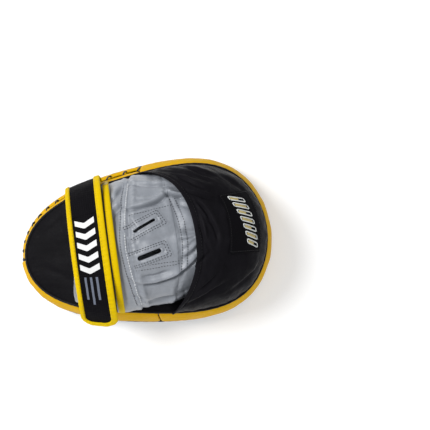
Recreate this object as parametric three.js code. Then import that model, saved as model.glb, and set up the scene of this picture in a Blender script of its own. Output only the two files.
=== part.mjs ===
// A curved leather focus mitt for one hand, lying on its strike face, in millimetres.
// +X runs from the wrist to the fingers, +Y to the side with the laced seam, +Z away from the strike face.
// The padding is described in its own bent coordinates: x along the spine, y across, h up from the
// strike face. padPoint() bends them into space, and every piece is a solid between two sheets of points.
import * as THREE from "three";

// ---- Driving dimensions ----
const HALF_LENGTH = 126.5; // strike face, along the spine
const HALF_WIDTH = 77; // strike face, across, before the fingers' end is widened
const STRIKE_TAPER = [0.208, 0.239]; // how the width grows towards the fingers and at both ends
const BACK_HALF_LENGTH = 107;
const BACK_HALF_WIDTH = 65.2;
const BACK_SHIFT = -4.1; // the back's middle lies nearer the wrist than the strike face's
const BACK_TAPER = [0.3, 0.296];
const THICK_WRIST = 33; // padding, strike face to back
const THICK_FINGERS = 42.5;

const WRIST_SLOPE = 18; // degrees, spine at the wrist end before the part is set down
const KINK_TURN = 15;
const KINK_FROM = -58;
const KINK_TO = -10;
const FINGER_TURN = 25;
const FINGER_FROM = -16;
const FINGER_RUN = 147;
const DISH_DEPTH = 7.6; // the fingers' half is dished across as well
const DISH_WIDTH = 38;
const DISH_FROM = -66;
const DISH_TO = 26;

const GAP = 0.4; // between touching pieces
const SKIN = 1.8; // leather
const PIPING_R = 1.5;
const WALL = 2.2; // side panels

const ROUND = 36; // steps round the padding
const RINGS = 4; // steps from its middle to its edge
const ARCH = 18; // steps over the hand

const CUFF_FROM = -58.5; // wrist cuff, along the spine at its feet
const CUFF_TO = -33;
const CUFF_HEIGHT = 46;
const CUFF_FOOT_IN = 1.5; // its feet stand this far inside the back's edge
const BINDING_W = 5.5;
const STRAP_FROM = -62;
const STRAP_TO = -32;
const STRAP_T = 2.6;
const STRAP_CLEAR = 3;
const STRAP_ROOT_OUT = 7; // how far the strap stands past the back's edge, laced side and open side
const STRAP_TIP_OUT = 12;
const FLARE_FROM = 0.8; // share of the arch where the free end starts to flare
const FLARE_OUT = 4;
const FLARE_EASE = 0.45; // how much the flare slows the arch's fall
const STRAP_SPLIT = 0.5; // where the free half begins, as a share of the arch

const GLOVE_FROM = -25.5; // glove back, along the spine
const GLOVE_SEAM = -18.5; // its cuff panel ends here, at the middle
const KNUCKLE_SEAM = 19;
const GLOVE_TO = 47;
const SEAM_BULGE = [0, -4, 6, 8]; // how far each of those lines bulges towards the fingers
const GLOVE_LACED_WIDTH = 64.5; // from the middle to its foot on the laced side
const GLOVE_OPEN_WIDTH = 57;
const GLOVE_HEIGHT = 49;
const HOOD_EDGE = 32; // hood opening at the middle of the hand
const HOOD_HEIGHT = 52;
const HOOD_SWEEP = 20; // how far its corners reach back towards the wrist
const HOOD_CORNER = 12;
const PATCH_SIZE = 36;
const PATCH_AT = 0.6; // share of the hood from its opening to the rim

// ---- Bent coordinates ----
const degrees = Math.PI / 180;
const lerp = (a, b, s) => a + (b - a) * s;

function smooth(from, to, x) {
  const s = Math.min(Math.max((x - from) / (to - from), 0), 1);
  return s * s * (3 - 2 * s);
}

function slope(x) {
  const bend = Math.max(0, (x - FINGER_FROM) / FINGER_RUN) ** 1.2;
  const turned = KINK_TURN * smooth(KINK_FROM, KINK_TO, x) + FINGER_TURN * bend;
  return (WRIST_SLOPE - turned) * degrees;
}

// The spine is added up in 1 mm steps from its middle.
const REACH = 160;
const spine = new Map([[0, [0, 0]]]);
for (const way of [1, -1]) {
  let [px, pz] = [0, 0];
  for (let i = 1; i <= REACH; i += 1) {
    const a = slope(way * (i - 0.5));
    px += way * Math.cos(a);
    pz += way * Math.sin(a);
    spine.set(way * i, [px, pz]);
  }
}

function onSpine(x) {
  const i = Math.floor(x);
  const [ax, az] = spine.get(i);
  const [bx, bz] = spine.get(i + 1);
  return [lerp(ax, bx, x - i), lerp(az, bz, x - i)];
}

function dish(x, y) {
  const depth = DISH_DEPTH * smooth(DISH_FROM, DISH_TO, x);
  return depth * (Math.sqrt(1 + (y / DISH_WIDTH) ** 2) - 1);
}

function padPoint(x, y, h) {
  const [sx, sz] = onSpine(x);
  const a = slope(x);
  const up = h - dish(x, y);
  return new THREE.Vector3(sx - Math.sin(a) * up, y, sz + Math.cos(a) * up);
}

const thickness = (x) => lerp(THICK_WRIST, THICK_FINGERS, smooth(-HALF_LENGTH, 13, x));

function egg(length, width, shift, [taper, fullness], t) {
  const c = Math.cos(t);
  const s = Math.sin(t);
  return [shift + length * c, width * s * (1 + taper * c + fullness * c * c)];
}

// The padding's outline at share k of its thickness, drawn in by inset.
function outline(t, k, inset = 0) {
  const [ax, ay] = egg(HALF_LENGTH, HALF_WIDTH, 0, STRIKE_TAPER, t);
  const [bx, by] = egg(BACK_HALF_LENGTH, BACK_HALF_WIDTH, BACK_SHIFT, BACK_TAPER, t);
  const [x, y] = [lerp(ax, bx, k), lerp(ay, by, k)];
  const keep = 1 - inset / Math.hypot(x, y);
  return [x * keep, y * keep];
}

function inPad(t, share, k, inset = 0, lift = 0) {
  const [x, y] = outline(t, k, inset);
  return padPoint(x * share, y * share, thickness(x * share) * k + lift);
}

// Above the back, pieces rise square to it under the fingers and nearly upright over the wrist.
const UPRIGHT = 2 * degrees;
function onBack(x, y, h) {
  const lean = -Math.min(slope(x), UPRIGHT);
  const foot = padPoint(x, y, thickness(x));
  return foot.add(new THREE.Vector3(h * Math.sin(lean), 0, h * Math.cos(lean)));
}

// Half-width of the back at x.
function backHalfWidth(x) {
  const c = Math.min(Math.max((x - BACK_SHIFT) / BACK_HALF_LENGTH, -1), 1);
  return BACK_HALF_WIDTH * Math.sqrt(1 - c * c) * (1 + BACK_TAPER[0] * c + BACK_TAPER[1] * c * c);
}

// ---- Solids ----
// Joins rows of points into one closed body; faces lists quads and triangles of point numbers.
function body(points, faces) {
  const numbers = new Map();
  const merged = [];
  const same = points.map((p) => {
    const key = p.toArray().map((c) => Math.round(c * 1e3)).join();
    if (!numbers.has(key)) {
      numbers.set(key, merged.length);
      merged.push(p);
    }
    return numbers.get(key);
  });
  const triangles = [];
  for (const face of faces) {
    for (let i = 2; i < face.length; i += 1) {
      const corner = [same[face[0]], same[face[i - 1]], same[face[i]]];
      if (new Set(corner).size === 3) triangles.push(corner);
    }
  }
  const volume = triangles.reduce((sum, [a, b, c]) => {
    const turned = merged[b].clone().cross(merged[c]);
    return sum + merged[a].dot(turned);
  }, 0);
  if (volume < 0) triangles.forEach((corner) => corner.reverse());
  const geometry = new THREE.BufferGeometry().setFromPoints(merged);
  geometry.setIndex(triangles.flat());
  geometry.computeVertexNormals();
  return geometry;
}

// A solid between an outer and an inner sheet, each a function of (u, v) from 0 to 1.
// A looped sheet closes on itself along u.
function between(nu, nv, outer, inner, looped = false) {
  const points = [];
  const faces = [];
  const columns = looped ? nu : nu + 1;
  for (const sheet of [outer, inner]) {
    for (let j = 0; j <= nv; j += 1) {
      for (let i = 0; i < columns; i += 1) points.push(sheet(i / nu, j / nv));
    }
  }
  const layer = columns * (nv + 1);
  const at = (side, i, j) => side * layer + j * columns + (i % columns);
  for (let i = 0; i < nu; i += 1) {
    for (let j = 0; j < nv; j += 1) {
      faces.push([at(0, i, j), at(0, i + 1, j), at(0, i + 1, j + 1), at(0, i, j + 1)]);
      faces.push([at(1, i, j), at(1, i, j + 1), at(1, i + 1, j + 1), at(1, i + 1, j)]);
    }
    faces.push([at(0, i, 0), at(1, i, 0), at(1, i + 1, 0), at(0, i + 1, 0)]);
    faces.push([at(0, i, nv), at(0, i + 1, nv), at(1, i + 1, nv), at(1, i, nv)]);
  }
  for (let j = 0; j < nv && !looped; j += 1) {
    faces.push([at(0, 0, j), at(0, 0, j + 1), at(1, 0, j + 1), at(1, 0, j)]);
    faces.push([at(0, nu, j), at(1, nu, j), at(1, nu, j + 1), at(0, nu, j + 1)]);
  }
  return body(points, faces);
}

// A bead round a closed line; section(u, angle) gives the point on its surface.
function bead(nu, sides, section) {
  const points = [];
  const faces = [];
  for (let i = 0; i < nu; i += 1) {
    for (let j = 0; j < sides; j += 1) points.push(section(i / nu, (2 * Math.PI * j) / sides));
  }
  const at = (i, j) => (i % nu) * sides + (j % sides);
  for (let i = 0; i < nu; i += 1) {
    for (let j = 0; j < sides; j += 1) {
      faces.push([at(i, j), at(i + 1, j), at(i + 1, j + 1), at(i, j + 1)]);
    }
  }
  return body(points, faces);
}

const mitt = new THREE.Group();

const LOOK = {
  yellow: [0xe2ac10, 0.5],
  lemon: [0xd8b81c, 0.5],
  black: [0x242326, 0.6],
  back: [0x29282c, 0.55],
  charcoal: [0x333237, 0.5],
  grey: [0x9499a0, 0.55],
  lining: [0x7d8186, 0.8],
  foam: [0x3c3c40, 0.9],
  softFoam: [0xc9c4b4, 0.95],
  hook: [0x2b2b2d, 0.95],
  patch: [0x1f1f21, 0.8],
};

function add(name, look, geometry) {
  const [color, roughness] = LOOK[look];
  const material = new THREE.MeshStandardMaterial({ color, roughness, metalness: 0 });
  const mesh = new THREE.Mesh(geometry, material);
  mesh.name = name;
  mitt.add(mesh);
}

// ---- Padding: flat layers of foam between two leather faces ----
function layer(from, to, inset) {
  const sheet = (k) => (u, v) => inPad(2 * Math.PI * u, v, k, inset);
  return between(ROUND, RINGS, sheet(to), sheet(from), true);
}

const shareOf = (mm) => mm / THICK_WRIST;
const inside = WALL + GAP;
const coverShare = shareOf(SKIN);
const gapShare = shareOf(GAP);

add("strike_cover", "charcoal", layer(0, coverShare, 0));
add("front_foam", "foam", layer(coverShare + gapShare, 0.4, inside));
add("core_foam", "softFoam", layer(0.4 + gapShare, 0.7, inside));
add("back_foam", "foam", layer(0.7 + gapShare, 1 - coverShare - gapShare, inside));
add("back_cover", "back", layer(1 - coverShare, 1, 0));

// Side panels stand between the two covers; k runs over the share of the thickness.
function panel(from, to, steps, low, high, outset = 0) {
  const sheet = (inset) => (u, v) => inPad(lerp(from, to, u), 1, lerp(low, high, v), inset);
  return between(steps, 2, sheet(-outset), sheet(WALL - outset));
}

const wallLow = coverShare + gapShare;
const wallHigh = 1 - wallLow;
const SIDE_SEAM = 88 * degrees; // the finger panel ends a little past the widest place
const seamGap = 0.5 * degrees;
const LACE_LOW = 0.44;
const LACE_HIGH = 0.66;
add("side_panel_fingers", "yellow", panel(-SIDE_SEAM, SIDE_SEAM, 18, wallLow, wallHigh));
add("side_panel_wrist", "yellow", panel(Math.PI + seamGap, 2 * Math.PI - SIDE_SEAM - seamGap, 9,
  wallLow, wallHigh));
const lacedFrom = SIDE_SEAM + seamGap;
const lacedTo = Math.PI - seamGap;
add("side_strip_lower", "yellow", panel(lacedFrom, lacedTo, 10, wallLow, LACE_LOW));
add("side_strip_upper", "yellow", panel(lacedFrom, lacedTo, 10, LACE_HIGH, wallHigh - gapShare));
const innerSkin = (inset) => (u, v) =>
  inPad(lerp(lacedFrom, lacedTo, u), 1, lerp(LACE_LOW + gapShare, LACE_HIGH - gapShare, v), inset);
add("lacing_liner", "black", between(10, 1, innerSkin(0.9), innerSkin(WALL)));

// The closing lace zigzags over the gap between the two strips.
const LACE_R = 0.8;
const LACE_TURNS = 13;
const laceLine = [];
for (let i = 0; i <= 2 * LACE_TURNS; i += 1) {
  const t = lerp(lacedFrom + 0.06, lacedTo - 0.06, i / (2 * LACE_TURNS));
  const k = i % 2 ? LACE_HIGH + 0.08 : LACE_LOW - 0.08;
  laceLine.push(inPad(t, 1, k, -(LACE_R + GAP + 0.5)));
}
const laceSection = new THREE.Shape();
laceSection.absarc(0, 0, LACE_R, 0, 2 * Math.PI);
add("closing_lace", "black", new THREE.ExtrudeGeometry(laceSection, {
  extrudePath: new THREE.CatmullRomCurve3(laceLine, false, "catmullrom", 0.1),
  steps: 4 * LACE_TURNS,
  curveSegments: 2,
  bevelEnabled: false,
}));

// Piping beads lie in the two edge seams, outside the side panels.
function piping(k, lift, clear) {
  return bead(60, 6, (u, angle) => {
    const out = PIPING_R * (1 + Math.cos(angle)) + clear;
    const up = PIPING_R * Math.sin(angle);
    return inPad(2 * Math.PI * u, 1, k, -out, lift + up);
  });
}
add("strike_piping", "black", piping(0, PIPING_R + 1.3, GAP));
add("back_piping", "black", piping(1, 0, GAP + 1));

// ---- Palm side of the glove, on the back cover ----
const PALM_X = 4;
const PALM_R = [30, 27];
const PALM_HEIGHT = 15;
function dome(cx, rx, ry, height, low, share) {
  const sheet = (top) => (u, v) => {
    const t = 2 * Math.PI * u;
    const rise = top ? height * (1 - v * v) ** 0.6 + share : 0;
    return onBack(cx + rx * v * Math.cos(t), ry * v * Math.sin(t), low + rise);
  };
  return between(20, 4, sheet(true), sheet(false), true);
}
add("palm_pad", "softFoam", dome(PALM_X, PALM_R[0], PALM_R[1], PALM_HEIGHT, GAP, 0.8));
function palmSheet(thick) {
  return (u, v) => {
    const x = lerp(GLOVE_FROM + 1, GLOVE_TO - 6, u);
    const y = lerp(-46, 46, v);
    const r = Math.hypot((x - PALM_X) / (PALM_R[0] + 5), y / (PALM_R[1] + 5));
    const rise = (PALM_HEIGHT + 2) * Math.max(0, 1 - r * r) ** 0.55;
    return onBack(x, y, GAP + 0.4 + rise + thick);
  };
}
add("glove_palm_panel", "grey", between(14, 14, palmSheet(1.6), palmSheet(0)));

// ---- Glove back: an arch over the hand, cut into leather panels ----
function gloveHeight(x) {
  return GLOVE_HEIGHT - 2.5 * smooth(-8, GLOVE_FROM, x) - 12 * smooth(38, 66, x);
}
// Its feet, laced side and open side, drawn in by thin.
function gloveFeet(x, thin) {
  const narrow = thin + 10 * smooth(20, 66, x);
  const wrist = 4 * smooth(0, GLOVE_FROM, x);
  return [GLOVE_LACED_WIDTH - narrow - wrist, GLOVE_OPEN_WIDTH - narrow];
}

// One point on an arch over the back: s runs from 0 on the laced side to 1 on the open side.
function arch(x, s, height, laced, open, power = 0.82) {
  const c = Math.cos(Math.PI * s);
  const rise = Math.sin(Math.PI * s) ** power;
  const y = c > 0 ? c * laced : c * open;
  return onBack(x, y, GAP + 0.5 + height * rise);
}

// A glove panel between two lines over the arch, each bulging towards the fingers by its own amount.
function glovePanel([from, bulgeFrom], [to, bulgeTo], s0, s1, nx, ns) {
  const sheet = (thin) => (u, v) => {
    const s = lerp(s0, s1, v);
    const x = lerp(from, to, u) + lerp(bulgeFrom, bulgeTo, u) * (Math.sin(Math.PI * s) - 1);
    return arch(x, s, gloveHeight(x) - thin, ...gloveFeet(x, thin));
  };
  return between(nx, ns, sheet(0), sheet(SKIN));
}
const FOOT = 0.13; // share of the arch taken by the gusset on each side
const [startLine, cuffLine, knuckleLine, endLine] = [GLOVE_FROM, GLOVE_SEAM, KNUCKLE_SEAM, GLOVE_TO]
  .map((x, i) => [x, SEAM_BULGE[i]]);
const past = ([x, bulge]) => [x + GAP, bulge];
const backPanel = (from, to, steps) => glovePanel(from, to, FOOT, 1 - FOOT, steps, 14);
add("glove_cuff_panel", "grey", backPanel(startLine, cuffLine, 2));
add("glove_back_panel", "grey", backPanel(past(cuffLine), knuckleLine, 5));
add("glove_finger_panel", "grey", backPanel(past(knuckleLine), endLine, 4));
const gusset = (s0, s1) => glovePanel(startLine, endLine, s0, s1, 9, 2);
add("gusset_laced_side", "black", gusset(0, FOOT - 0.004));
add("gusset_open_side", "black", gusset(1 - FOOT + 0.004, 1));

// Leather tapes that stiffen the two vent slits over the back of the hand.
function slitTape(x, s) {
  const sheet = (top) => (u, v) => {
    const here = lerp(s - 0.028, s + 0.028, v);
    const along = x + 26 * (u - 0.5);
    return arch(along, here, gloveHeight(along) + top, ...gloveFeet(along, -top));
  };
  return between(4, 1, sheet(1.2), sheet(GAP + 0.1));
}
add("slit_tape_upper", "grey", slitTape(-1, 0.415));
add("slit_tape_lower", "grey", slitTape(1, 0.55));

// ---- Finger and thumb sleeves under the hood ----
// A flat sleeve along the spine, open towards the wrist and closed at its tip.
function sleeve(from, to, cy, cyTip, halfWidth, low, high, highTip) {
  const tip = 0.9;
  const skin = 1.5;
  const sheet = (thin) => (u, v) => {
    const t = 2 * Math.PI * u;
    const along = Math.min(v / tip, 1);
    const close = v > tip ? (v - tip) / (1 - tip) : 0;
    const narrow = (1 - 0.35 * along * along) * (1 - close);
    const w = (halfWidth - thin) * narrow;
    const tall = (lerp(high, highTip, along) - low) / 2;
    const x = lerp(from, to - thin, along);
    const y = lerp(cy, cyTip, along) + w * Math.cos(t);
    return onBack(x, y, low + tall + (tall - thin) * (1 - close) * Math.sin(t));
  };
  return between(16, 10, sheet(0), sheet(skin), true);
}
add("finger_sleeve", "lining", sleeve(48.5, 88, 0, 0, 38, 3, 27, 14));
add("thumb_sleeve", "lining", sleeve(46, 70, -50, -46, 7, 3, 15, 12));

// ---- Hood over the fingers ----
const HOOD_TURN = 76 * degrees; // it meets the rim this far round from the finger tip
// Its point at share a from the opening to the rim, and b from -1 to 1 across.
function hoodPoint(a, b, thin) {
  const across = Math.sin((b * Math.PI) / 2);
  const [ex, ey] = outline(b * HOOD_TURN, 1, 1 + thin);
  const open = Math.abs(across) ** 2.4;
  const corner = ey > 0 ? Math.abs(across) ** 8 : 0; // the laced side's corner reaches further
  const ox = HOOD_EDGE - HOOD_SWEEP * open - HOOD_CORNER * corner;
  const oy = (ey > 0 ? 1 : -1) * Math.abs(across) * (70 - thin - 3 * corner);
  const high = HOOD_HEIGHT * (1 - Math.abs(across) ** 2.6) ** 0.5;
  const fall = (1 - a ** 2.2) ** 0.72;
  const h = GAP + Math.max(high * fall - thin, 0);
  return onBack(lerp(ox, ex, a), lerp(oy, ey, a), h);
}
const hoodSheet = (thin) => (u, v) => hoodPoint(u, lerp(-0.985, 0.985, v), thin);
add("finger_hood", "black", between(8, 16, hoodSheet(0), hoodSheet(SKIN)));

function patchSheet(lift) {
  return (u, v) => {
    const a = PATCH_AT + (PATCH_SIZE / 88) * (u - 0.5);
    const b = 0.42 * (v - 0.5) + 0.06;
    return hoodPoint(a, b, -lift);
  };
}
add("hood_patch", "patch", between(4, 4, patchSheet(1.6), patchSheet(GAP + 0.2)));

// ---- Wrist cuff: lining, loop band and bindings ----
function cuffSheet(from, to, grow) {
  return (u, v) => {
    const x = lerp(from, to, u);
    const foot = backHalfWidth(x) - CUFF_FOOT_IN + grow;
    return arch(x, v, CUFF_HEIGHT + grow, foot, foot);
  };
}
function cuffPiece(from, to, low, high, steps) {
  return between(steps, ARCH, cuffSheet(from, to, high), cuffSheet(from, to, low));
}
add("cuff_lining", "lining", cuffPiece(CUFF_FROM - 4, CUFF_TO + BINDING_W, -3.6, -1.8 - GAP, 4));
add("cuff_band", "black", cuffPiece(CUFF_FROM, CUFF_TO, -1.8, 0, 4));
add("cuff_binding_fingers", "lemon", cuffPiece(CUFF_TO + GAP, CUFF_TO + BINDING_W, -1.8, 0.5, 1));
add("cuff_binding_wrist", "lemon", cuffPiece(CUFF_FROM - 4, CUFF_FROM - GAP, -1.8, 0.5, 1));
function loopSheet(grow) {
  return (u, v) => cuffSheet(CUFF_FROM + 8, CUFF_TO - 8, grow)(u, lerp(10 / ARCH, 15 / ARCH, v));
}
add("loop_patch", "hook", between(2, 5, loopSheet(1.5), loopSheet(GAP + 0.4)));

// ---- Strap: sewn down at the laced side, lapping over the cuff to the open side ----
// Its free end flares outwards over the last part of the arch.
function strapPoint(x, s, grow) {
  const edge = backHalfWidth(x) + grow;
  const end = Math.max((s - FLARE_FROM) / (1 - FLARE_FROM), 0) ** 2;
  const along = s - (1 - FLARE_FROM) * FLARE_EASE * end;
  const tip = edge + STRAP_TIP_OUT + FLARE_OUT * end;
  return arch(x, along, CUFF_HEIGHT + STRAP_CLEAR + grow, edge + STRAP_ROOT_OUT, tip, 0.78);
}
function strapPiece(x0, x1, s0, s1, low, high, steps, across = 1) {
  const sheet = (grow) => (u, v) => strapPoint(lerp(x0, x1, u), lerp(s0, s1, v), grow);
  return between(across, steps, sheet(high), sheet(low));
}
const split = 0.004;
const innerFrom = STRAP_FROM + BINDING_W + GAP;
const innerTo = STRAP_TO - BINDING_W - GAP;
const rootTo = STRAP_SPLIT - split;
add("strap_base_panel", "black", strapPiece(innerFrom, innerTo, 0.03, rootTo, 0.4, STRAP_T, 9));
add("strap_base_binding_wrist", "lemon", strapPiece(STRAP_FROM, STRAP_FROM + BINDING_W, 0.03, rootTo,
  0.4, STRAP_T + 0.4, 9));
add("strap_base_binding_fingers", "lemon", strapPiece(STRAP_TO - BINDING_W, STRAP_TO, 0.03, rootTo,
  0.4, STRAP_T + 0.4, 9));

// The free half ends in a tongue with round corners, bound all round.
const TONGUE = 0.14; // share of the arch over which the corners round
const mid = (STRAP_FROM + STRAP_TO) / 2;
function tongueHalf(s, half) {
  const left = Math.min(Math.max((1 - s) / TONGUE, 0), 1);
  return half * (1 - (1 - left) ** 2.4) ** 0.42;
}
const tipFrom = STRAP_SPLIT + split;
const halfStrap = (STRAP_TO - STRAP_FROM) / 2;
const TIP_STEPS = [0, 0.12, 0.24, 0.36, 0.48, 0.6, 0.7, 0.79, 0.87, 0.93, 0.97, 1];
function tipRow(v) {
  return TIP_STEPS[Math.round(v * (TIP_STEPS.length - 1))];
}
const panelEnd = 0.955;
function tipPanelSheet(grow) {
  return (u, v) => {
    const s = lerp(tipFrom, panelEnd, tipRow(v));
    const outer = tongueHalf(lerp(tipFrom, 0.999, tipRow(v)), halfStrap - BINDING_W - GAP);
    return strapPoint(mid + outer * (2 * u - 1), s, grow);
  };
}
add("strap_tip_panel", "black", between(2, TIP_STEPS.length - 1, tipPanelSheet(STRAP_T), tipPanelSheet(0.4)));

// Its binding runs down one edge, round the end and back up the other.
function tipBinding() {
  const rows = TIP_STEPS.length - 1;
  const path = [];
  for (let i = 0; i <= rows; i += 1) path.push([-1, TIP_STEPS[i]]);
  for (let i = 1; i < 6; i += 1) path.push([-1 + i / 3, 1]);
  for (let i = rows; i >= 0; i -= 1) path.push([1, TIP_STEPS[i]]);
  const point = (inner, grow) => (u) => {
    const [side, row] = path[Math.round(u * (path.length - 1))];
    const end = inner ? panelEnd + 0.004 : 1;
    const s = lerp(tipFrom, end, row);
    const half = tongueHalf(lerp(tipFrom, 0.999, row), inner ? halfStrap - BINDING_W : halfStrap);
    return strapPoint(mid + half * side, s, grow);
  };
  const sheet = (grow) => (u, v) => point(v === 1, grow)(u);
  return between(path.length - 1, 1, sheet(STRAP_T + 0.4), sheet(0.4));
}
add("strap_tip_binding", "lemon", tipBinding());
add("hook_patch", "hook", strapPiece(mid - 11, mid + 11, 0.56, 0.84, -0.8, 0, 6));

// The root of the strap is folded over the edge and sewn to the side panel.
function rootSheet(grow) {
  return (u, v) => {
    const x = lerp(STRAP_FROM + 1, STRAP_TO - 1, u);
    const t = Math.acos(Math.min(Math.max((x + 2) / HALF_LENGTH, -1), 1));
    return inPad(t, 1, lerp(0.8, 0.92, v), -grow);
  };
}
add("strap_root_tab", "black", between(4, 1, rootSheet(2.4), rootSheet(GAP + 0.2)));

// ---- Set down: turned until the wrist end and the finger end both touch the ground ----
function settle() {
  let turn = 0;
  for (let round = 0; round < 6; round += 1) {
    const low = [null, null];
    for (let i = 0; i < 360; i += 1) {
      const p = inPad(i * degrees, 1, 0).applyAxisAngle(new THREE.Vector3(0, 1, 0), turn);
      const end = p.x > 0 ? 1 : 0;
      if (!low[end] || p.z < low[end].z) low[end] = p;
    }
    turn += Math.atan2(low[1].z - low[0].z, low[1].x - low[0].x);
  }
  return turn;
}
mitt.rotation.y = settle();
mitt.updateMatrixWorld(true);
const box = new THREE.Box3().setFromObject(mitt, true);
mitt.position.set(-(box.min.x + box.max.x) / 2, -(box.min.y + box.max.y) / 2, -box.min.z);

export default mitt;
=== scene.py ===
import math

import bmesh
import bpy
import numpy as np
from mathutils import Matrix, Vector


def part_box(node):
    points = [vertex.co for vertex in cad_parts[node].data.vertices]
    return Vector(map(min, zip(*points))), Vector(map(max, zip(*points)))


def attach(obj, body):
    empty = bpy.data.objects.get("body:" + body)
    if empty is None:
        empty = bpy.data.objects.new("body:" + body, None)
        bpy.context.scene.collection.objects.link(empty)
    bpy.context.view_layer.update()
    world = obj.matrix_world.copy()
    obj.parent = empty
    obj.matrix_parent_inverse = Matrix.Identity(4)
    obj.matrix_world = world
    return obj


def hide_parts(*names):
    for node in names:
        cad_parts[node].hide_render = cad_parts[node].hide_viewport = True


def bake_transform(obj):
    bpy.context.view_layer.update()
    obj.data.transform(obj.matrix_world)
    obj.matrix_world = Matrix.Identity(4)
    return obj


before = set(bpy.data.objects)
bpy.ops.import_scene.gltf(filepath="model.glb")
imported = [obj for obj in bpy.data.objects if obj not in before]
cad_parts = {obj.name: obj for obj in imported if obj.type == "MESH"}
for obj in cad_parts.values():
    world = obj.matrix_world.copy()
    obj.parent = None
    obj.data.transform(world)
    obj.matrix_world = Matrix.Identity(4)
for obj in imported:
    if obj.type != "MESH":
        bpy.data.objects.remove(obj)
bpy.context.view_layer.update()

# A curved leather focus mitt lying on its strike face. Shapes are worked out in millimetres in the
# padding's bent coordinates (x along the spine, y across, h up from the strike face), which are the
# CAD part's own, and placed in the shared frame in metres from the CAD nodes' boxes.

# ---- Driving dimensions, the same as the CAD part's ----
HALF_LENGTH, HALF_WIDTH, STRIKE_TAPER = 126.5, 77.0, (0.208, 0.239)
BACK_HALF_LENGTH, BACK_HALF_WIDTH, BACK_SHIFT, BACK_TAPER = 107.0, 65.2, -4.1, (0.3, 0.296)
THICK_WRIST, THICK_FINGERS = 33.0, 42.5
WRIST_SLOPE, KINK_TURN, KINK_FROM, KINK_TO = 18.0, 15.0, -58.0, -10.0
FINGER_TURN, FINGER_FROM, FINGER_RUN = 25.0, -16.0, 147.0
DISH_DEPTH, DISH_WIDTH, DISH_FROM, DISH_TO = 7.6, 38.0, -66.0, 26.0
UPRIGHT = math.radians(2)
REACH = 160

CUFF_FROM, CUFF_TO, CUFF_HEIGHT, CUFF_FOOT_IN = -58.5, -33.0, 46.0, 1.5
BINDING_W = 5.5
STRAP_FROM, STRAP_TO, STRAP_T, STRAP_CLEAR = -62.0, -32.0, 2.6, 3.0
STRAP_ROOT_OUT, STRAP_TIP_OUT = 7.0, 12.0
FLARE_FROM, FLARE_OUT, FLARE_EASE = 0.8, 4.0, 0.45
GLOVE_FROM, GLOVE_SEAM, KNUCKLE_SEAM, GLOVE_TO = -25.5, -18.5, 19.0, 47.0
GLOVE_LACED_WIDTH, GLOVE_OPEN_WIDTH, GLOVE_HEIGHT = 64.5, 57.0, 49.0
HOOD_EDGE, HOOD_HEIGHT, HOOD_SWEEP, HOOD_CORNER = 32.0, 52.0, 20.0, 12.0
HOOD_TURN = math.radians(76)
SIDE_SEAM = math.radians(88)
LACE_LOW, LACE_HIGH = 0.42, 0.62
PALM_X, PALM_RX, PALM_RY, PALM_HEIGHT = 4.0, 30.0, 27.0, 15.0


# ---- Bent coordinates ----
def lerp(a, b, s):
    return a + (b - a) * s


def smooth(low, high, x):
    s = np.clip((x - low) / (high - low), 0, 1)
    return s * s * (3 - 2 * s)


def slope(x):
    bend = np.clip((x - FINGER_FROM) / FINGER_RUN, 0, None) ** 1.2
    turned = KINK_TURN * smooth(KINK_FROM, KINK_TO, x) + FINGER_TURN * bend
    return np.radians(WRIST_SLOPE - turned)


def spine_table():
    steps = slope(np.arange(-REACH, REACH) + 0.5)
    run = np.concatenate([[0], np.cumsum(np.cos(steps))])
    rise = np.concatenate([[0], np.cumsum(np.sin(steps))])
    return np.arange(-REACH, REACH + 1.0), run - run[REACH], rise - rise[REACH]


SPINE_X, SPINE_RUN, SPINE_RISE = spine_table()


def points(x, y, z):
    return np.stack(np.broadcast_arrays(x, y, z), axis=-1).astype(float)


def pad_point(x, y, h):
    """Where a point of the bent coordinates lies in plain ones."""
    x, y, h = np.broadcast_arrays(*(np.asarray(c, float) for c in (x, y, h)))
    dish = DISH_DEPTH * smooth(DISH_FROM, DISH_TO, x) * (np.sqrt(1 + (y / DISH_WIDTH) ** 2) - 1)
    a = slope(x)
    up = h - dish
    return points(
        np.interp(x, SPINE_X, SPINE_RUN) - np.sin(a) * up,
        y,
        np.interp(x, SPINE_X, SPINE_RISE) + np.cos(a) * up,
    )


def thickness(x):
    return lerp(THICK_WRIST, THICK_FINGERS, smooth(-127.5, 13, x))


def egg(length, width, shift, taper, t):
    c, s = np.cos(t), np.sin(t)
    return shift + length * c, width * s * (1 + taper[0] * c + taper[1] * c * c)


def outline(t, k, inset=0.0):
    """The padding's outline at a share k of its thickness, drawn in by inset."""
    ax, ay = egg(HALF_LENGTH, HALF_WIDTH, 0, STRIKE_TAPER, t)
    bx, by = egg(BACK_HALF_LENGTH, BACK_HALF_WIDTH, BACK_SHIFT, BACK_TAPER, t)
    x, y = lerp(ax, bx, k), lerp(ay, by, k)
    keep = 1 - inset / np.hypot(x, y)
    return x * keep, y * keep


def in_pad(t, share, k, inset=0.0, lift=0.0):
    """A point of the padding: share goes out from its middle, k up through its thickness."""
    x, y = outline(t, k, inset)
    return pad_point(x * share, y * share, thickness(x * share) * k + lift)


def on_back(x, y, h):
    """A point that stands h over the padding's back."""
    lean = -np.minimum(slope(x), UPRIGHT)
    foot = pad_point(x, y, thickness(x))
    return foot + points(h * np.sin(lean), 0 * h, h * np.cos(lean))


def back_half_width(x):
    c = np.clip((x - BACK_SHIFT) / BACK_HALF_LENGTH, -1, 1)
    return BACK_HALF_WIDTH * np.sqrt(1 - c * c) * (1 + BACK_TAPER[0] * c + BACK_TAPER[1] * c * c)


def arch(x, s, height, laced, opened, power=0.82):
    """An arch over the back, as s goes from its foot on the laced side to the one on the open side."""
    c = np.cos(np.pi * s)
    rise = np.clip(np.sin(np.pi * s), 0, 1) ** power
    return on_back(x, np.where(c > 0, c * laced, c * opened), 0.9 + height * rise)


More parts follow.
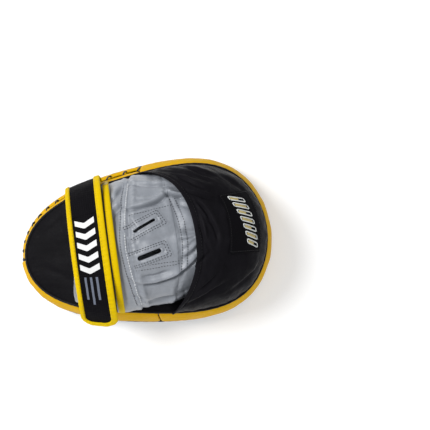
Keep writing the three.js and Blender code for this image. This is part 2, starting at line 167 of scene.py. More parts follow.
def swung(p, turn):
    x = p[..., 0] * math.cos(turn) + p[..., 2] * math.sin(turn)
    z = -p[..., 0] * math.sin(turn) + p[..., 2] * math.cos(turn)
    return points(x, p[..., 1], z)


def settled_turn():
    """The turn that lets the mitt rest on the lowest points of its two ends."""
    turn = 0.0
    rim = in_pad(np.radians(np.arange(360)), 1, 0)
    for _ in range(6):
        x, z = swung(rim, turn)[:, ::2].T
        low = [np.argmin(np.where(x > 0, z, np.inf)), np.argmin(np.where(x > 0, np.inf, z))]
        turn += math.atan2(z[low[0]] - z[low[1]], x[low[0]] - x[low[1]])
    return turn


TURN = settled_turn()


def turned(p):
    return swung(p, TURN) / 1000


# The CAD strike cover's lowest corner says where the bent coordinates lie in the shared frame.
CAD_ROUND = np.radians(np.arange(0, 360, 10))
cover_rim = turned(np.stack([in_pad(CAD_ROUND, 1, k) for k in (0, 1.8 / THICK_WRIST)]))
SHIFT = np.array(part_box("strike_cover")[0]) - cover_rim.reshape(-1, 3).min(0)
SHIFT[1] = 0


def placed(p):
    return turned(p) + SHIFT


# ---- Reliefs ----
def wave_noise(x, y, scale, seed, octaves=3):
    """A smooth random relief from -1 to 1: a few crossing sine waves for each octave."""
    draw = np.random.default_rng(seed)
    total = 0 * x
    weight = 0.0
    for octave in range(octaves):
        for _ in range(5):
            angle = draw.uniform(0, 2 * math.pi)
            phase = draw.uniform(0, 2 * math.pi)
            size = 2 * math.pi / (scale / 1.9**octave) * draw.uniform(0.75, 1.3)
            wave = np.sin(size * (x * math.cos(angle) + y * math.sin(angle)) + phase)
            total = total + wave * 0.55**octave
            weight += 0.35 * 0.55**octave
    return total / weight


def roughness(height, long, wide, scale, seed):
    """A relief of plain smooth noise over a sheet of the given length and width."""
    return lambda u, v: height * wave_noise(long * u, wide * v, scale, seed)


def gathers(u, v, count, swing, height, start, end):
    """The small ripples that a rim's seam pulls in the leather beside it."""
    wave = np.sin(2 * np.pi * u * count + swing[0] * np.sin(swing[1] * u))
    return height * wave * smooth(*start, v) * (1 - smooth(*end, v))


def hump(u, power=0.7):
    return np.sin(np.pi * np.clip(u, 0, 1)) ** power


def folds(x, y, table):
    return sum(fold(x, y, *row) for row in table)


def fold(x, y, line, width, valley, ridge=0.0):
    """A crease along a bent line: a valley, with a ridge on the side that lies to its left."""
    a, b, c = (np.array(p, float) for p in line)
    steps = np.linspace(0, 1, 14)[:, None]
    path = (1 - steps) ** 2 * a + 2 * steps * (1 - steps) * b + steps**2 * c
    best = np.full(x.shape, 1e9)
    side = np.zeros(x.shape)
    along = np.zeros(x.shape)
    for i, (p, q) in enumerate(zip(path[:-1], path[1:])):
        d = q - p
        s = np.clip(((x - p[0]) * d[0] + (y - p[1]) * d[1]) / (d @ d), 0, 1)
        ex, ey = x - p[0] - s * d[0], y - p[1] - s * d[1]
        far = np.hypot(ex, ey)
        near = far < best
        best = np.where(near, far, best)
        side = np.where(near, np.sign(d[0] * ey - d[1] * ex), side)
        along = np.where(near, (i + s) / (len(path) - 1), along)
    fade = np.sqrt(np.clip(np.sin(np.pi * np.clip(along, 0.02, 0.98)), 0, 1))
    signed = best * side
    past = signed - 1.45 * width
    shape = -valley * np.exp(-((best / width) ** 2))
    shape = shape + ridge * np.exp(-((past / np.where(past < 0, 0.95 * width, 2.6 * width)) ** 2))
    return shape * fade


# ---- Mesh building ----
def unit(vectors):
    return vectors / np.maximum(np.linalg.norm(vectors, axis=-1, keepdims=True), 1e-9)


def sheet_normals(p, looped):
    if looped:
        du = np.roll(p, -1, 0) - np.roll(p, 1, 0)
    else:
        du = np.gradient(p, axis=0)
    return unit(np.cross(du, np.gradient(p, axis=1)))


def steps_with_rims(count, length, radius, rims):
    """Shares from 0 to 1 with extra rows close to each rounded rim."""
    shares = list(np.linspace(0, 1, count + 1))
    near = [radius * f / length for f in (0.12, 0.45, 1.0)]
    if rims[0]:
        shares += near
    if rims[1]:
        shares += [1 - s for s in near]
    return np.unique(np.round(shares, 7))


def object_from(name, form, look, body="mitt", smooth_shade=True):
    """A piece from its vertices and faces, with its material, that rides on a body."""
    verts, faces = form
    mesh = bpy.data.meshes.new(name)
    mesh.from_pydata([tuple(v) for v in verts], [], [tuple(f) for f in faces])
    bm = bmesh.new()
    bm.from_mesh(mesh)
    bmesh.ops.remove_doubles(bm, verts=bm.verts, dist=2e-6)
    bmesh.ops.dissolve_degenerate(bm, edges=bm.edges, dist=1e-6)
    bmesh.ops.recalc_face_normals(bm, faces=bm.faces)
    bm.to_mesh(mesh)
    bm.free()
    if smooth_shade:
        mesh.shade_smooth()
    obj = bpy.data.objects.new(name, mesh)
    bpy.context.scene.collection.objects.link(obj)
    mesh.materials.append(look[0])
    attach(obj, body)
    return obj


def no_relief(u, v):
    return 0 * u


def shell(name, surface, count, size, thick, inside, look, looped=False, relief=no_relief,
          rims=(True,) * 4):
    """A closed leather or fabric sheet. surface(u, v) is its outer face in millimetres, size its
    rough lengths along u and v, inside a point that it faces away from."""
    radius = thick / 2
    us = np.linspace(0, 1, count[0] + 1)[:-1]
    if not looped:
        us = steps_with_rims(count[0], size[0], radius, rims[:2])
    vs = steps_with_rims(count[1], size[1], radius, rims[2:])
    u, v = np.meshgrid(us, vs, indexing="ij")
    p = surface(u, v)
    n = sheet_normals(p, looped)
    if np.sum(n * (p - np.array(inside, float))) < 0:
        n = -n
    p = p + n * relief(u, v)[..., None]
    turned_n = sheet_normals(p, looped)
    n = np.where(np.sum(turned_n * n, -1, keepdims=True) < 0, -turned_n, turned_n)
    edge = np.full(u.shape, radius)
    gaps = (u * size[0], (1 - u) * size[0], v * size[1], (1 - v) * size[1])
    for i, gap in enumerate(gaps):
        if rims[i] and (i > 1 or not looped):
            edge = np.minimum(edge, gap)
    pull = radius - np.sqrt(np.clip(radius**2 - (radius - edge) ** 2, 0, None))
    outer = p - n * pull[..., None]
    inner = p - n * (thick - pull)[..., None]
    verts = placed(np.concatenate([outer.reshape(-1, 3), inner.reshape(-1, 3)]))
    grid = np.arange(u.size).reshape(u.shape)
    if looped:
        grid = np.vstack([grid, grid[:1]])
    top = np.stack([grid[:-1, :-1], grid[1:, :-1], grid[1:, 1:], grid[:-1, 1:]], -1).reshape(-1, 4)
    faces = [*top.tolist(), *(top[:, ::-1] + u.size).tolist()]
    borders = [grid[:, 0], grid[:, -1]] if looped else [grid[:, 0], grid[:, -1], grid[0], grid[-1]]
    for border in borders:
        for one, two in zip(border[:-1], border[1:]):
            faces.append((one, two, two + u.size, one + u.size))
    return object_from(name, (verts, faces), look)


def stand_in(name, ending, *form, **options):
    """The shell that shows one CAD node and is named after it."""
    piece = shell(name + ending, *form, **options)
    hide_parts(name)
    return piece


def on_sheet(surface, u, v, lift, inside, relief=no_relief):
    """Points in metres on a surface, lifted off it by lift millimetres, and outward directions."""
    u, v = np.broadcast_arrays(np.asarray(u, float), np.asarray(v, float))
    e = 2e-3
    p = surface(u, v)
    n = unit(np.cross(surface(u + e, v) - surface(u - e, v), surface(u, v + e) - surface(u, v - e)))
    away = np.sum(n * (p - np.array(inside, float)), -1, keepdims=True) < 0
    n = np.where(away, -n, n)
    raised = p + n * (lift + relief(u, v))[:, None]
    return placed(raised), (turned(p + n) - turned(p)) * 1000


def resample(path, normals, pitch):
    """The path cut into stitches of one pitch, in metres: their middles, directions and normals."""
    legs = np.linalg.norm(np.diff(path, axis=0), axis=1)
    along = np.concatenate([[0], np.cumsum(legs)])
    count = max(1, int(along[-1] / pitch))
    ends = np.linspace(0, along[-1], count + 1)
    at = np.stack([np.interp(ends, along, path[:, k]) for k in range(3)], 1)
    middle = (at[1:] + at[:-1]) / 2
    half = (ends[1:] + ends[:-1]) / 2
    n = np.stack([np.interp(half, along, normals[:, k]) for k in range(3)], 1)
    return middle, unit(at[1:] - at[:-1]), n


SEAM_SIZE = (3.4, 2.3, 0.28)
BINDING_SIZE = (2.8, 2.0, 0.28)
STRAP_SIZE = (2.8, 2.0, 0.3)


def stitches(name, rows, look, size):
    """Rows of thread stitches as one mesh: each is a small spindle half sunk in the leather. The
    size is the stitches' pitch, length and radius in millimetres."""
    pitch, length, radius = size
    rings, sides = [(-1, 0.0), (-0.72, 0.75), (0, 1.0), (0.72, 0.75), (1, 0.0)], 6
    verts, faces = [], []
    for path, normals in rows:
        middle, way, n = resample(path, normals, pitch / 1000)
        side = unit(np.cross(way, n))
        up = np.cross(side, way)
        for m, w, s, t in zip(middle, way, side, up):
            base = len(verts)
            for step, girth in rings:
                for q in range(sides):
                    a = 2 * math.pi * q / sides
                    off = s * math.cos(a) + t * (math.sin(a) * 0.8)
                    verts.append(m + w * step * length / 2000 + off * girth * radius / 1000)
            for r in range(len(rings) - 1):
                for q in range(sides):
                    q2 = (q + 1) % sides
                    one, two = base + r * sides, base + (r + 1) * sides
                    faces.append((one + q, one + q2, two + q2, two + q))
    return object_from(name, (verts, faces), look)


def sew(name, surface, rows, look, size, lift, inside, relief=no_relief):
    """Stitches along rows of a surface, each given as its shares u and v."""
    lines = [on_sheet(surface, u, v, lift, inside, relief) for u, v in rows]
    return stitches(name, lines, look, size)


def tube(path, radius, sides, flat, normals, closed=False):
    """Vertices and faces of a tube along points in metres, ended with rounded tips unless closed."""
    count = len(path)
    if closed:
        way = np.roll(path, -1, 0) - np.roll(path, 1, 0)
    else:
        way = np.gradient(path, axis=0)
    way = unit(way)
    side = unit(np.cross(way, normals))
    up = np.cross(side, way)
    girth = np.broadcast_to(np.asarray(radius, float), (count,)).copy()
    if not closed:
        girth[0] *= 0.05
        girth[-1] *= 0.05
    angles = 2 * np.pi * np.arange(sides) / sides
    ring = np.cos(angles)[:, None] * side[:, None] + flat * np.sin(angles)[:, None] * up[:, None]
    verts = (path[:, None] + ring * girth[:, None, None]).reshape(-1, 3)
    faces = []
    for i in range(count if closed else count - 1):
        i2 = (i + 1) % count
        for q in range(sides):
            q2 = (q + 1) % sides
            faces.append((i * sides + q, i2 * sides + q, i2 * sides + q2, i * sides + q2))
    if not closed:
        last = (count - 1) * sides
        faces += [tuple(range(sides)), tuple(range(last, last + sides))]
    return verts, faces


def joined(parts):
    verts, faces = [], []
    for part_verts, part_faces in parts:
        base = len(verts)
        verts.extend(part_verts)
        faces.extend(tuple(i + base for i in f) for f in part_faces)
    return verts, faces


# ---- Materials ----
def linear(rgb):
    return [(c / 255 / 12.92) if c / 255 <= 0.04045 else ((c / 255 + 0.055) / 1.055) ** 2.4 for c in rgb]


class Nodes:
    """A material's node tree. Its methods take and give sockets, so that they nest."""

    def __init__(self, name):
        self.material = bpy.data.materials.new(name)
        self.material.use_nodes = True
        self.tree = self.material.node_tree
        self.tree.nodes.clear()
        self.shader = self.add("ShaderNodeBsdfPrincipled")
        self.add("ShaderNodeOutputMaterial", {"Surface": self.shader.outputs["BSDF"]})
        self.place = self.add("ShaderNodeTexCoord").outputs["Object"]

    def fill(self, node, inputs):
        """Each input is another node's socket to link, or a constant to set."""
        for key, value in inputs.items():
            if isinstance(value, bpy.types.NodeSocket):
                self.tree.links.new(value, node.inputs[key])
            else:
                node.inputs[key].default_value = value

    def add(self, kind, inputs=None, **properties):
        node = self.tree.nodes.new(kind)
        for key, value in properties.items():
            setattr(node, key, value)
        self.fill(node, inputs or {})
        return node

    def texture(self, kind, out, inputs, **properties):
        return self.add(kind, {"Vector": self.place, **inputs}, **properties).outputs[out]

    def noise(self, scale, detail=4.0, rough=0.55):
        inputs = {"Scale": scale, "Detail": detail, "Roughness": rough}
        return self.texture("ShaderNodeTexNoise", "Fac", inputs)

    def ramp(self, value, low, high, a=0.0, b=1.0):
        inputs = {"Value": value, "From Min": low, "From Max": high, "To Min": a, "To Max": b}
        return self.add("ShaderNodeMapRange", inputs).outputs["Result"]

    def blend(self, factor, a, b):
        """Mixes two colours, each a socket or three numbers."""
        a, b = (c if isinstance(c, bpy.types.NodeSocket) else (*c, 1) for c in (a, b))
        return self.add("ShaderNodeMix", {0: factor, 6: a, 7: b}, data_type="RGBA").outputs[2]

    def bump(self, height, strength, distance, below=None):
        """A bump, over the one below it if there is one, as the shader's normal input."""
        inputs = {"Height": height, "Strength": strength, "Distance": distance, **(below or {})}
        return {"Normal": self.add("ShaderNodeBump", inputs).outputs["Normal"]}

    def finished(self, colour, rough, surface, constants):
        """Feeds colour, roughness and bump to the shader and sets its constant sockets."""
        self.fill(self.shader, {"Base Color": colour, "Roughness": rough, **surface, **constants})
        return self.material


def scaled(colour, factor):
    return [min(1.0, c * factor) for c in colour]


def leather(name, rgb, rough=0.45, grain=900.0, depth=0.35, blotch=0.16, ridge_highlight=0.25, gloss=0.4):
    """Leather: pebbled grain, blotchy colour, a painted highlight on raised places and uneven gloss."""
    m = Nodes(name)
    base = linear(rgb)
    patches = m.ramp(m.noise(22.0, 5.0, 0.6), 0.3, 0.7)
    colour = m.blend(patches, scaled(base, 1 - blotch), scaled(base, 1 + blotch))
    fine = m.ramp(m.noise(420.0, 3.0, 0.6), 0.35, 0.75, 0.0, 0.35)
    colour = m.blend(fine, colour, scaled(base, 0.72))
    # Raised places and edges are lightened by their pointiness: a painted highlight.
    point = m.add("ShaderNodeNewGeometry").outputs["Pointiness"]
    raised = m.ramp(point, 0.505, 0.56, 0.0, ridge_highlight)
    colour = m.blend(raised, colour, [min(1.0, c * 1.35 + 0.02) for c in base])
    uneven = m.ramp(m.noise(60.0, 4.0, 0.6), 0.3, 0.7, rough - 0.07, rough + 0.09)
    cells = m.texture("ShaderNodeTexVoronoi", "Distance", {"Scale": grain}, feature="DISTANCE_TO_EDGE")
    pebbles = m.bump(m.ramp(cells, 0.0, 0.35), depth, 0.00025)
    surface = m.bump(m.noise(130.0, 5.0, 0.65), 0.35, 0.0007, pebbles)
    return m.finished(colour, uneven, surface, {"Specular IOR Level": gloss})


def bands(m, scale, way, **inputs):
    """Waves across one direction."""
    inputs["Scale"] = scale
    return m.texture("ShaderNodeTexWave", "Fac", inputs, wave_type="BANDS", bands_direction=way)


def fabric(name, rgb, pitch=1.1, depth=0.5, rough=0.85, hole_shade=0.0, sheen=0.25):
    """Woven cloth: two crossing sets of ribs, with painted shade in the low parts of the weave, deeper where
    it is an open mesh.
    """
    m = Nodes(name)
    base = linear(rgb)
    ribs = [bands(m, 1000 / pitch / 6.3, way, Distortion=0.6, Detail=1.0) for way in "XY"]
    weave = m.add("ShaderNodeMath", {0: ribs[0], 1: ribs[1]}, operation="MULTIPLY").outputs["Value"]
    dusty = m.noise(35.0, 4.0)
    colour = m.blend(m.ramp(dusty, 0.3, 0.7), scaled(base, 0.85), scaled(base, 1.2))
    # The low parts of the weave are darkened: painted shade between the threads.
    gaps = m.ramp(weave, 0.0, 0.6, 0.35 + hole_shade, 0.0)
    colour = m.blend(gaps, colour, scaled(base, 0.3))
    uneven = m.ramp(dusty, 0.3, 0.7, rough - 0.06, min(1.0, rough + 0.08))
    constants = {"Sheen Weight": sheen, "Sheen Roughness": 0.6, "Specular IOR Level": 0.03}
    return m.finished(colour, uneven, m.bump(weave, depth, 0.0004), constants)


def thread(name, rgb, rough=0.5):
    """Twisted thread: fine slanted ribs with a satin gloss, and painted shade and light along the ribs."""
    m = Nodes(name)
    base = linear(rgb)
    twist = bands(m, 420.0, "DIAGONAL")
    # The colour follows the ribs' relief: painted shade in the grooves and painted light on the crests.
    colour = m.blend(twist, scaled(base, 0.75), scaled(base, 1.1))
    uneven = m.ramp(m.noise(500.0, 2.0), 0.3, 0.7, rough - 0.08, rough + 0.1)
    constants = {"Sheen Weight": 0.04, "Specular IOR Level": 0.2}
    return m.finished(colour, uneven, m.bump(twist, 0.4, 0.0002), constants)


def foam(name, rgb):
    """Foam: small pores, darkened inside as painted shade."""
    m = Nodes(name)
    base = linear(rgb)
    pores = m.texture("ShaderNodeTexVoronoi", "Distance", {"Scale": 700.0})
    colour = m.blend(pores, scaled(base, 0.7), base)
    return m.finished(colour, m.ramp(pores, 0.0, 1.0, 0.85, 1.0), m.bump(pores, 0.6, 0.0004), {})


def ground():
    """The floor: matt and pale, with a faint glow that keeps its shadows pale."""
    m = Nodes("floor")
    base = [0.82, 0.82, 0.82]
    soft = m.noise(3.0, 3.0)
    colour = m.blend(m.ramp(soft, 0.2, 0.8), scaled(base, 0.985), base)
    glow = {"Emission Color": (1, 1, 1, 1), "Emission Strength": 0.27, "Specular IOR Level": 0.1}
    return m.finished(colour, m.ramp(soft, 0.2, 0.8, 0.8, 0.9), {}, glow)


YELLOW = (leather("golden_leather", (206, 159, 0), 0.5, 800, 0.2, 0.05, 0.0, gloss=0.03), "side_leather")
LEMON = (leather("binding_leather", (209, 177, 0), 0.5, 700, 0.3, 0.08, 0.1, gloss=0.04), "binding")
CHARCOAL = (leather("strike_leather", (44, 43, 48), 0.42, 900, 0.35, 0.2, 0.3, gloss=0.25), "strike_leather")
BACK = (leather("back_leather", (13, 12, 15), 0.46, 900, 0.4, 0.3, 0.1, gloss=0.05), "back_leather")
HOOD = (leather("hood_leather", (22, 21, 24), 0.34, 1000, 0.2, 0.25, 0.05, gloss=0.01), "hood_leather")
GREY = (leather("glove_leather", (130, 134, 141), 0.36, 850, 0.35, 0.07, 0.25, gloss=0.55), "glove_leather")
PIPING = (leather("piping_leather", (16, 15, 18), 0.5, 900, 0.4, 0.2, 0.15, gloss=0.12), "piping")
LINING = (fabric("grey_lining", (120, 122, 126), 0.9), "lining")
CUFF_CLOTH = (fabric("cuff_cloth", (17, 16, 19), 1.3, sheen=0.0), "cuff_fabric")
STRAP_WEB = (fabric("strap_mesh", (15, 14, 17), 1.0, 0.5, 0.6, 0.1, sheen=0.0), "strap_web")
HOOK = (fabric("hook_tape", (34, 34, 36), 0.8, 1.0, 0.95, sheen=0.1), "hook_and_loop")
LACE = (thread("waxed_lace", (18, 17, 19), 0.45), "lace")
PATCH = (fabric("patch_twill", (15, 14, 17), 0.7, 0.4, 0.7, sheen=0.0), "patch")
WHITE_THREAD = (thread("white_thread", (214, 216, 212)), "patch")
GOLD_THREAD = (thread("gold_thread", (186, 168, 110)), "patch")
GREY_THREAD = (thread("grey_thread", (216, 218, 220)), "glove_leather")
SLATE_THREAD = (thread("slate_thread", (60, 62, 68)), "glove_leather")
LEMON_THREAD = (thread("yellow_thread", (196, 164, 20)), "binding")
BLACK_THREAD = (thread("black_thread", (14, 14, 16)), "back_leather")
WHITE_PRINT = (leather("white_print", (214, 214, 214), 0.45, 900, 0.2, 0.05, 0.0), "strap_web")
GREY_PRINT = (leather("grey_print", (96, 102, 116), 0.5, 900, 0.2, 0.08, 0.0), "strap_web")
FIRM_FOAM = foam("firm_foam", (61, 61, 64))
SOFT_FOAM = foam("soft_foam", (200, 196, 178))


# ---- Camera, floor and light ----
LENS_MM, SENSOR_MM, DISTANCE, AIM = 83.72, 36, 0.965, Vector((0, 0, 0.0434))
TILT_X, TILT_Y, ROLL = math.radians(-5), math.radians(2.6), math.radians(7.74)
ASIDE = Vector((-0.0646, -0.0274))  # where the mitt's middle lies in the picture plane
LIGHT_AIM = Vector((0, 0, 0.05))
LIGHTS = (("key", (-0.92, 0.48, 1.4), 0.7, 26), ("fill", (0.3, -1.5, 0.8), 1.2, 5))  # place, size, power
FLOOR_HALF = 6.0


def make_camera():
    level = math.cos(TILT_X)
    back = Vector((math.sin(TILT_X), -math.sin(TILT_Y) * level, math.cos(TILT_Y) * level))
    right = Vector((0, 1, 0)).cross(back).normalized()
    up = back.cross(right)
    turned_right = right * math.cos(ROLL) - up * math.sin(ROLL)
    turned_up = right * math.sin(ROLL) + up * math.cos(ROLL)
    data = bpy.data.cameras.new("camera")
    data.lens = LENS_MM
    data.sensor_width = SENSOR_MM
    data.clip_start = 0.01
    camera = bpy.data.objects.new("camera", data)
    spot = AIM + back * DISTANCE - turned_right * ASIDE.x - turned_up * ASIDE.y
    facing = Matrix((turned_right, turned_up, back)).transposed().to_4x4()
    camera.matrix_world = Matrix.Translation(spot) @ facing
    bpy.context.scene.collection.objects.link(camera)
    bpy.context.scene.camera = camera


def area_light(name, at, size, power):
    data = bpy.data.lights.new(name, "AREA")
    data.shape = "DISK"
    data.size = size
    data.energy = power
    lamp = bpy.data.objects.new(name, data)
    lamp.location = at
    lamp.rotation_euler = (LIGHT_AIM - Vector(at)).to_track_quat("-Z", "Y").to_euler()
    bpy.context.scene.collection.objects.link(lamp)


def make_studio():
    bpy.context.scene.view_settings.view_transform = "Standard"
    world = bpy.data.worlds.new("studio")
    world.use_nodes = True
    sky = world.node_tree.nodes["Background"]
    sky.inputs["Color"].default_value = (0.97, 0.985, 1, 1)
    sky.inputs["Strength"].default_value = 0.56
    bpy.context.scene.world = world
    for light in LIGHTS:
        area_light(*light)
    mesh = bpy.data.meshes.new("floor")
    corners = [(x * FLOOR_HALF, y * FLOOR_HALF, 0) for x, y in ((-1, -1), (1, -1), (1, 1), (-1, 1))]
    mesh.from_pydata(corners, [], [(0, 1, 2, 3)])
    mesh.materials.append(ground())
    floor = bpy.data.objects.new("floor", mesh)
    bpy.context.scene.collection.objects.link(floor)


make_camera()
make_studio()


# ---- Padding ----
PAD_INSIDE = (0, 0, 20)
WALL_SKIN, BACK_SKIN, STRIP_SKIN = 1.8, 1.6, 1.7  # thickness of the leather and its folded rims
WALL_BULGE, STRIP_BULGE = 3.4, 1.6
WALL_LOW, WALL_HIGH = 0.045, 0.965  # the wall's edges, as shares of the padding's thickness
SEAM_GAP = 0.006
LACED_FROM, LACED_TO = SIDE_SEAM + SEAM_GAP, math.pi - SEAM_GAP
SCALLOPS, SCALLOP_DOWN, SCALLOP_UP = 13, 0.055, 0.025
LACE_RADIUS, LACE_REACH_DOWN, LACE_REACH_UP, LACE_PROUD = 1.0, 0.085, 0.03, 2.7
OUTER_RIM = (False, False, False, True)


def pad_face(k, inset):
    return lambda u, v: in_pad(2 * np.pi * u, np.clip(v, 1e-3, 1), k, inset)


def make_strike_face():
    surface = pad_face(0, 0.4)

    def relief(u, v):
        p = surface(u, v)
        puff = 2.0 * (1 - v**6)
        seam_ripple = gathers(u, v, 92, (2, 17), 0.35, (0.9, 0.97), (0.985, 1))
        crease = fold(p[..., 0], p[..., 1], ((-44, 60), (-40, 0), (-44, -60)), 3.0, 0.9, 0.25)
        return puff + seam_ripple + crease + 0.25 * wave_noise(p[..., 0], p[..., 1], 40, 3)

    face = shell("strike_face", surface, (220, 44), (600, 100), WALL_SKIN, PAD_INSIDE, CHARCOAL,
                 looped=True, relief=relief, rims=OUTER_RIM)
    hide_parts("strike_cover")
    u = np.linspace(0, 1, 400)
    sew("strike_edge_stitches", surface, [(u, 0.955)], BLACK_THREAD, (3.6, 2.6, 0.35), 0.25, PAD_INSIDE,
        relief)


BACK_FOLDS = (
    (((-98, 22), (-88, 26), (-70, 40)), 2.2, 0.5, 0.35),
    (((-104, -8), (-90, -14), (-72, -30)), 2.4, 0.4, 0.3),
)


def make_back_cover():
    surface = pad_face(1, 0.3)

    def relief(u, v):
        p = surface(u, v)
        x, y = p[..., 0], p[..., 1]
        puff = 1.0 * (1 - v**8) + 1.6 * smooth(-66, -100, x) * (1 - v**4)
        ripple = gathers(u, v, 80, (3, 11), 0.3, (0.86, 0.96), (0.98, 1))
        return puff + ripple + folds(x, y, BACK_FOLDS) + 0.22 * wave_noise(x, y, 30, 5)

    cover = shell("back_face", surface, (200, 40), (560, 90), BACK_SKIN, PAD_INSIDE, BACK, looped=True,
                  relief=relief, rims=OUTER_RIM)
    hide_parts("back_cover")


SEAM_TURN = 0.012  # the part of the round that a panel's folded end takes up


def wall(t0, t1, low, high, inset=0.0):
    return lambda u, v: in_pad(lerp(t0, t1, u), 1, lerp(low, high, v), inset)


def wall_relief(t0, t1, low, high, bulge, edge_low=True, edge_high=True):
    """Bulge, fine pleats pulled in by the piping seams, and folded ends at the panel seams."""

    def relief(u, v):
        t = lerp(t0, t1, u)
        k = lerp(low, high, v)
        length = 120 * t
        pleat = np.sin(length / 4.1 + 2.2 * np.sin(length / 23)) * (0.55 + 0.45 * np.sin(length / 37))
        near_low = (1 - smooth(0.0, 0.2, v)) if edge_low else 0
        near_high = (1 - smooth(0.0, 0.22, 1 - v)) if edge_high else 0
        pinch = -0.9 * (near_low**2 + near_high**2)
        span = (t1 - t0) / SEAM_TURN
        ends = -1.1 * (np.exp(-((u * span) ** 2)) + np.exp(-(((1 - u) * span) ** 2)))
        soft = 0.3 * wave_noise(length, 40 * k, 34, 11)
        return bulge * hump(v, 0.8) + pinch + 0.22 * pleat * (near_low + near_high) + soft + ends

    return relief


def make_side_panels():
    spans = (
        ("side_panel_fingers", -SIDE_SEAM, SIDE_SEAM, (230, 22), (420, 42)),
        ("side_panel_wrist", math.pi + SEAM_GAP, 2 * math.pi - SIDE_SEAM - SEAM_GAP, (130, 22), (170, 38)),
    )
    for name, t0, t1, count, size in spans:
        surface = wall(t0, t1, WALL_LOW, WALL_HIGH)
        relief = wall_relief(t0, t1, WALL_LOW, WALL_HIGH, WALL_BULGE)
        stand_in(name, "_leather", surface, count, size, WALL_SKIN, PAD_INSIDE, YELLOW, relief=relief)
        u = np.linspace(0.004, 0.996, 300)
        rows = ((u, 0.07), (u, 0.93))
        sew(name + "_stitches", surface, rows, LEMON_THREAD, SEAM_SIZE, 0.1, PAD_INSIDE, relief)

    def scallop(u):
        return np.abs(np.sin(np.pi * SCALLOPS * u + 0.5 * np.sin(9 * u))) ** 0.7

    def lower(u, v):
        top = LACE_LOW - 0.01 - SCALLOP_DOWN * scallop(u)
        return in_pad(lerp(LACED_FROM, LACED_TO, u), 1, lerp(WALL_LOW, top, v))

    def upper(u, v):
        bottom = LACE_HIGH + 0.01 + SCALLOP_UP * scallop(u)
        return in_pad(lerp(LACED_FROM, LACED_TO, u), 1, lerp(bottom, WALL_HIGH, v))

    strips = (
        ("side_strip_lower", lower, (True, False), 14),
        ("side_strip_upper", upper, (False, True), 11),
    )
    for name, surface, edges, tall in strips:
        relief = wall_relief(LACED_FROM, LACED_TO, WALL_LOW, WALL_HIGH, STRIP_BULGE, *edges)
        stand_in(name, "_leather", surface, (208, 12), (165, tall), STRIP_SKIN, PAD_INSIDE, YELLOW,
                 relief=relief)
        row = (np.linspace(0.01, 0.99, 240), 0.12 if edges[0] else 0.88)
        sew(name + "_stitches", surface, [row], LEMON_THREAD, SEAM_SIZE, 0.1, PAD_INSIDE, relief)
    stand_in("lacing_liner", "_cloth", wall(LACED_FROM, LACED_TO, 0.34, 0.72, 1.3), (120, 6), (165, 14), 1.0,
             PAD_INSIDE, BACK, relief=roughness(0.3, 165, 14, 9, 21))


def along_wall(t, k, out, lift=0.0):
    """Points out from the side wall and the way out there, in metres."""
    path = placed(in_pad(t, 1, k, -out, lift))
    return path, placed(in_pad(t, 1, k, -out - 1, lift)) - path


def make_lace():
    """Slanted whip stitches over the closing gap, from edge to edge, each lying a little differently."""
    parts = []
    gap = (LACED_TO - LACED_FROM) / SCALLOPS
    steps = np.linspace(0, 1, 13)
    for i in range(SCALLOPS + 1):
        slant = 0.3 + 0.14 * math.sin(5.0 * i)
        t = np.clip(LACED_FROM + gap * (i + slant * (steps - 0.5)), LACED_FROM, LACED_TO)
        tail = LACE_REACH_DOWN + 0.02 * math.sin(3.0 * i)
        k = lerp(LACE_LOW - tail, LACE_HIGH + LACE_REACH_UP, steps)
        out = LACE_PROUD * np.sin(np.pi * steps) ** 0.35 - 0.4
        path, side = along_wall(t, k, out)
        parts.append(tube(path, LACE_RADIUS / 1000, 8, 0.75, side))
    lace = object_from("closing_lace_cord", joined(parts), LACE)
    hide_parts("closing_lace")


def make_piping():
    beads = (("strike_piping", 0, -1.1, 1.7, 1.5), ("back_piping", 1, 0.3, -0.4, 1.4))
    for name, k, out, lift, radius in beads:
        t = 2 * np.pi * np.linspace(0, 1, 521)[:-1]
        path, side = along_wall(t, k, out, lift)
        girth = (radius + 0.06 * np.sin(97 * t) + 0.05 * np.sin(61 * t + 1)) / 1000
        piece = object_from(name + "_bead", tube(path, girth, 12, 0.94, side, closed=True), PIPING)
        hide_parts(name)


def finish_foams():
    """The foams stay the CAD part's own solids, hidden in the skins, and only take materials."""
    for name, material in (("front_foam", FIRM_FOAM), ("core_foam", SOFT_FOAM), ("back_foam", FIRM_FOAM)):
        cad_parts[name].data.materials.clear()
        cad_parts[name].data.materials.append(material)


# ---- Palm side and sleeves ----
def make_palm():
    def pad_surface(u, v):
        t = 2 * np.pi * u
        rise = PALM_HEIGHT * np.clip(1 - v * v, 0, 1) ** 0.6
        return on_back(PALM_X + PALM_RX * v * np.cos(t), PALM_RY * v * np.sin(t), 1.6 + rise)

    pad = stand_in("palm_pad", "_foam", pad_surface, (64, 20), (160, 34), 1.2, (PALM_X, 0, 30),
                   (SOFT_FOAM, "soft_foam"), looped=True, rims=OUTER_RIM)

    def panel(u, v):
        x, y = lerp(GLOVE_FROM + 1, GLOVE_TO - 6, u), lerp(-46, 46, v)
        r = np.hypot((x - PALM_X) / (PALM_RX + 5), y / (PALM_RY + 5))
        return on_back(x, y, 2.4 + (PALM_HEIGHT + 2) * np.clip(1 - r * r, 0, 1) ** 0.7)

    piece = shell("glove_palm_leather", panel, (48, 60), (66, 92), 1.4, (0, 0, 30), GREY,
                  relief=roughness(0.35, 66, 92, 22, 31))
    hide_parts("glove_palm_panel")


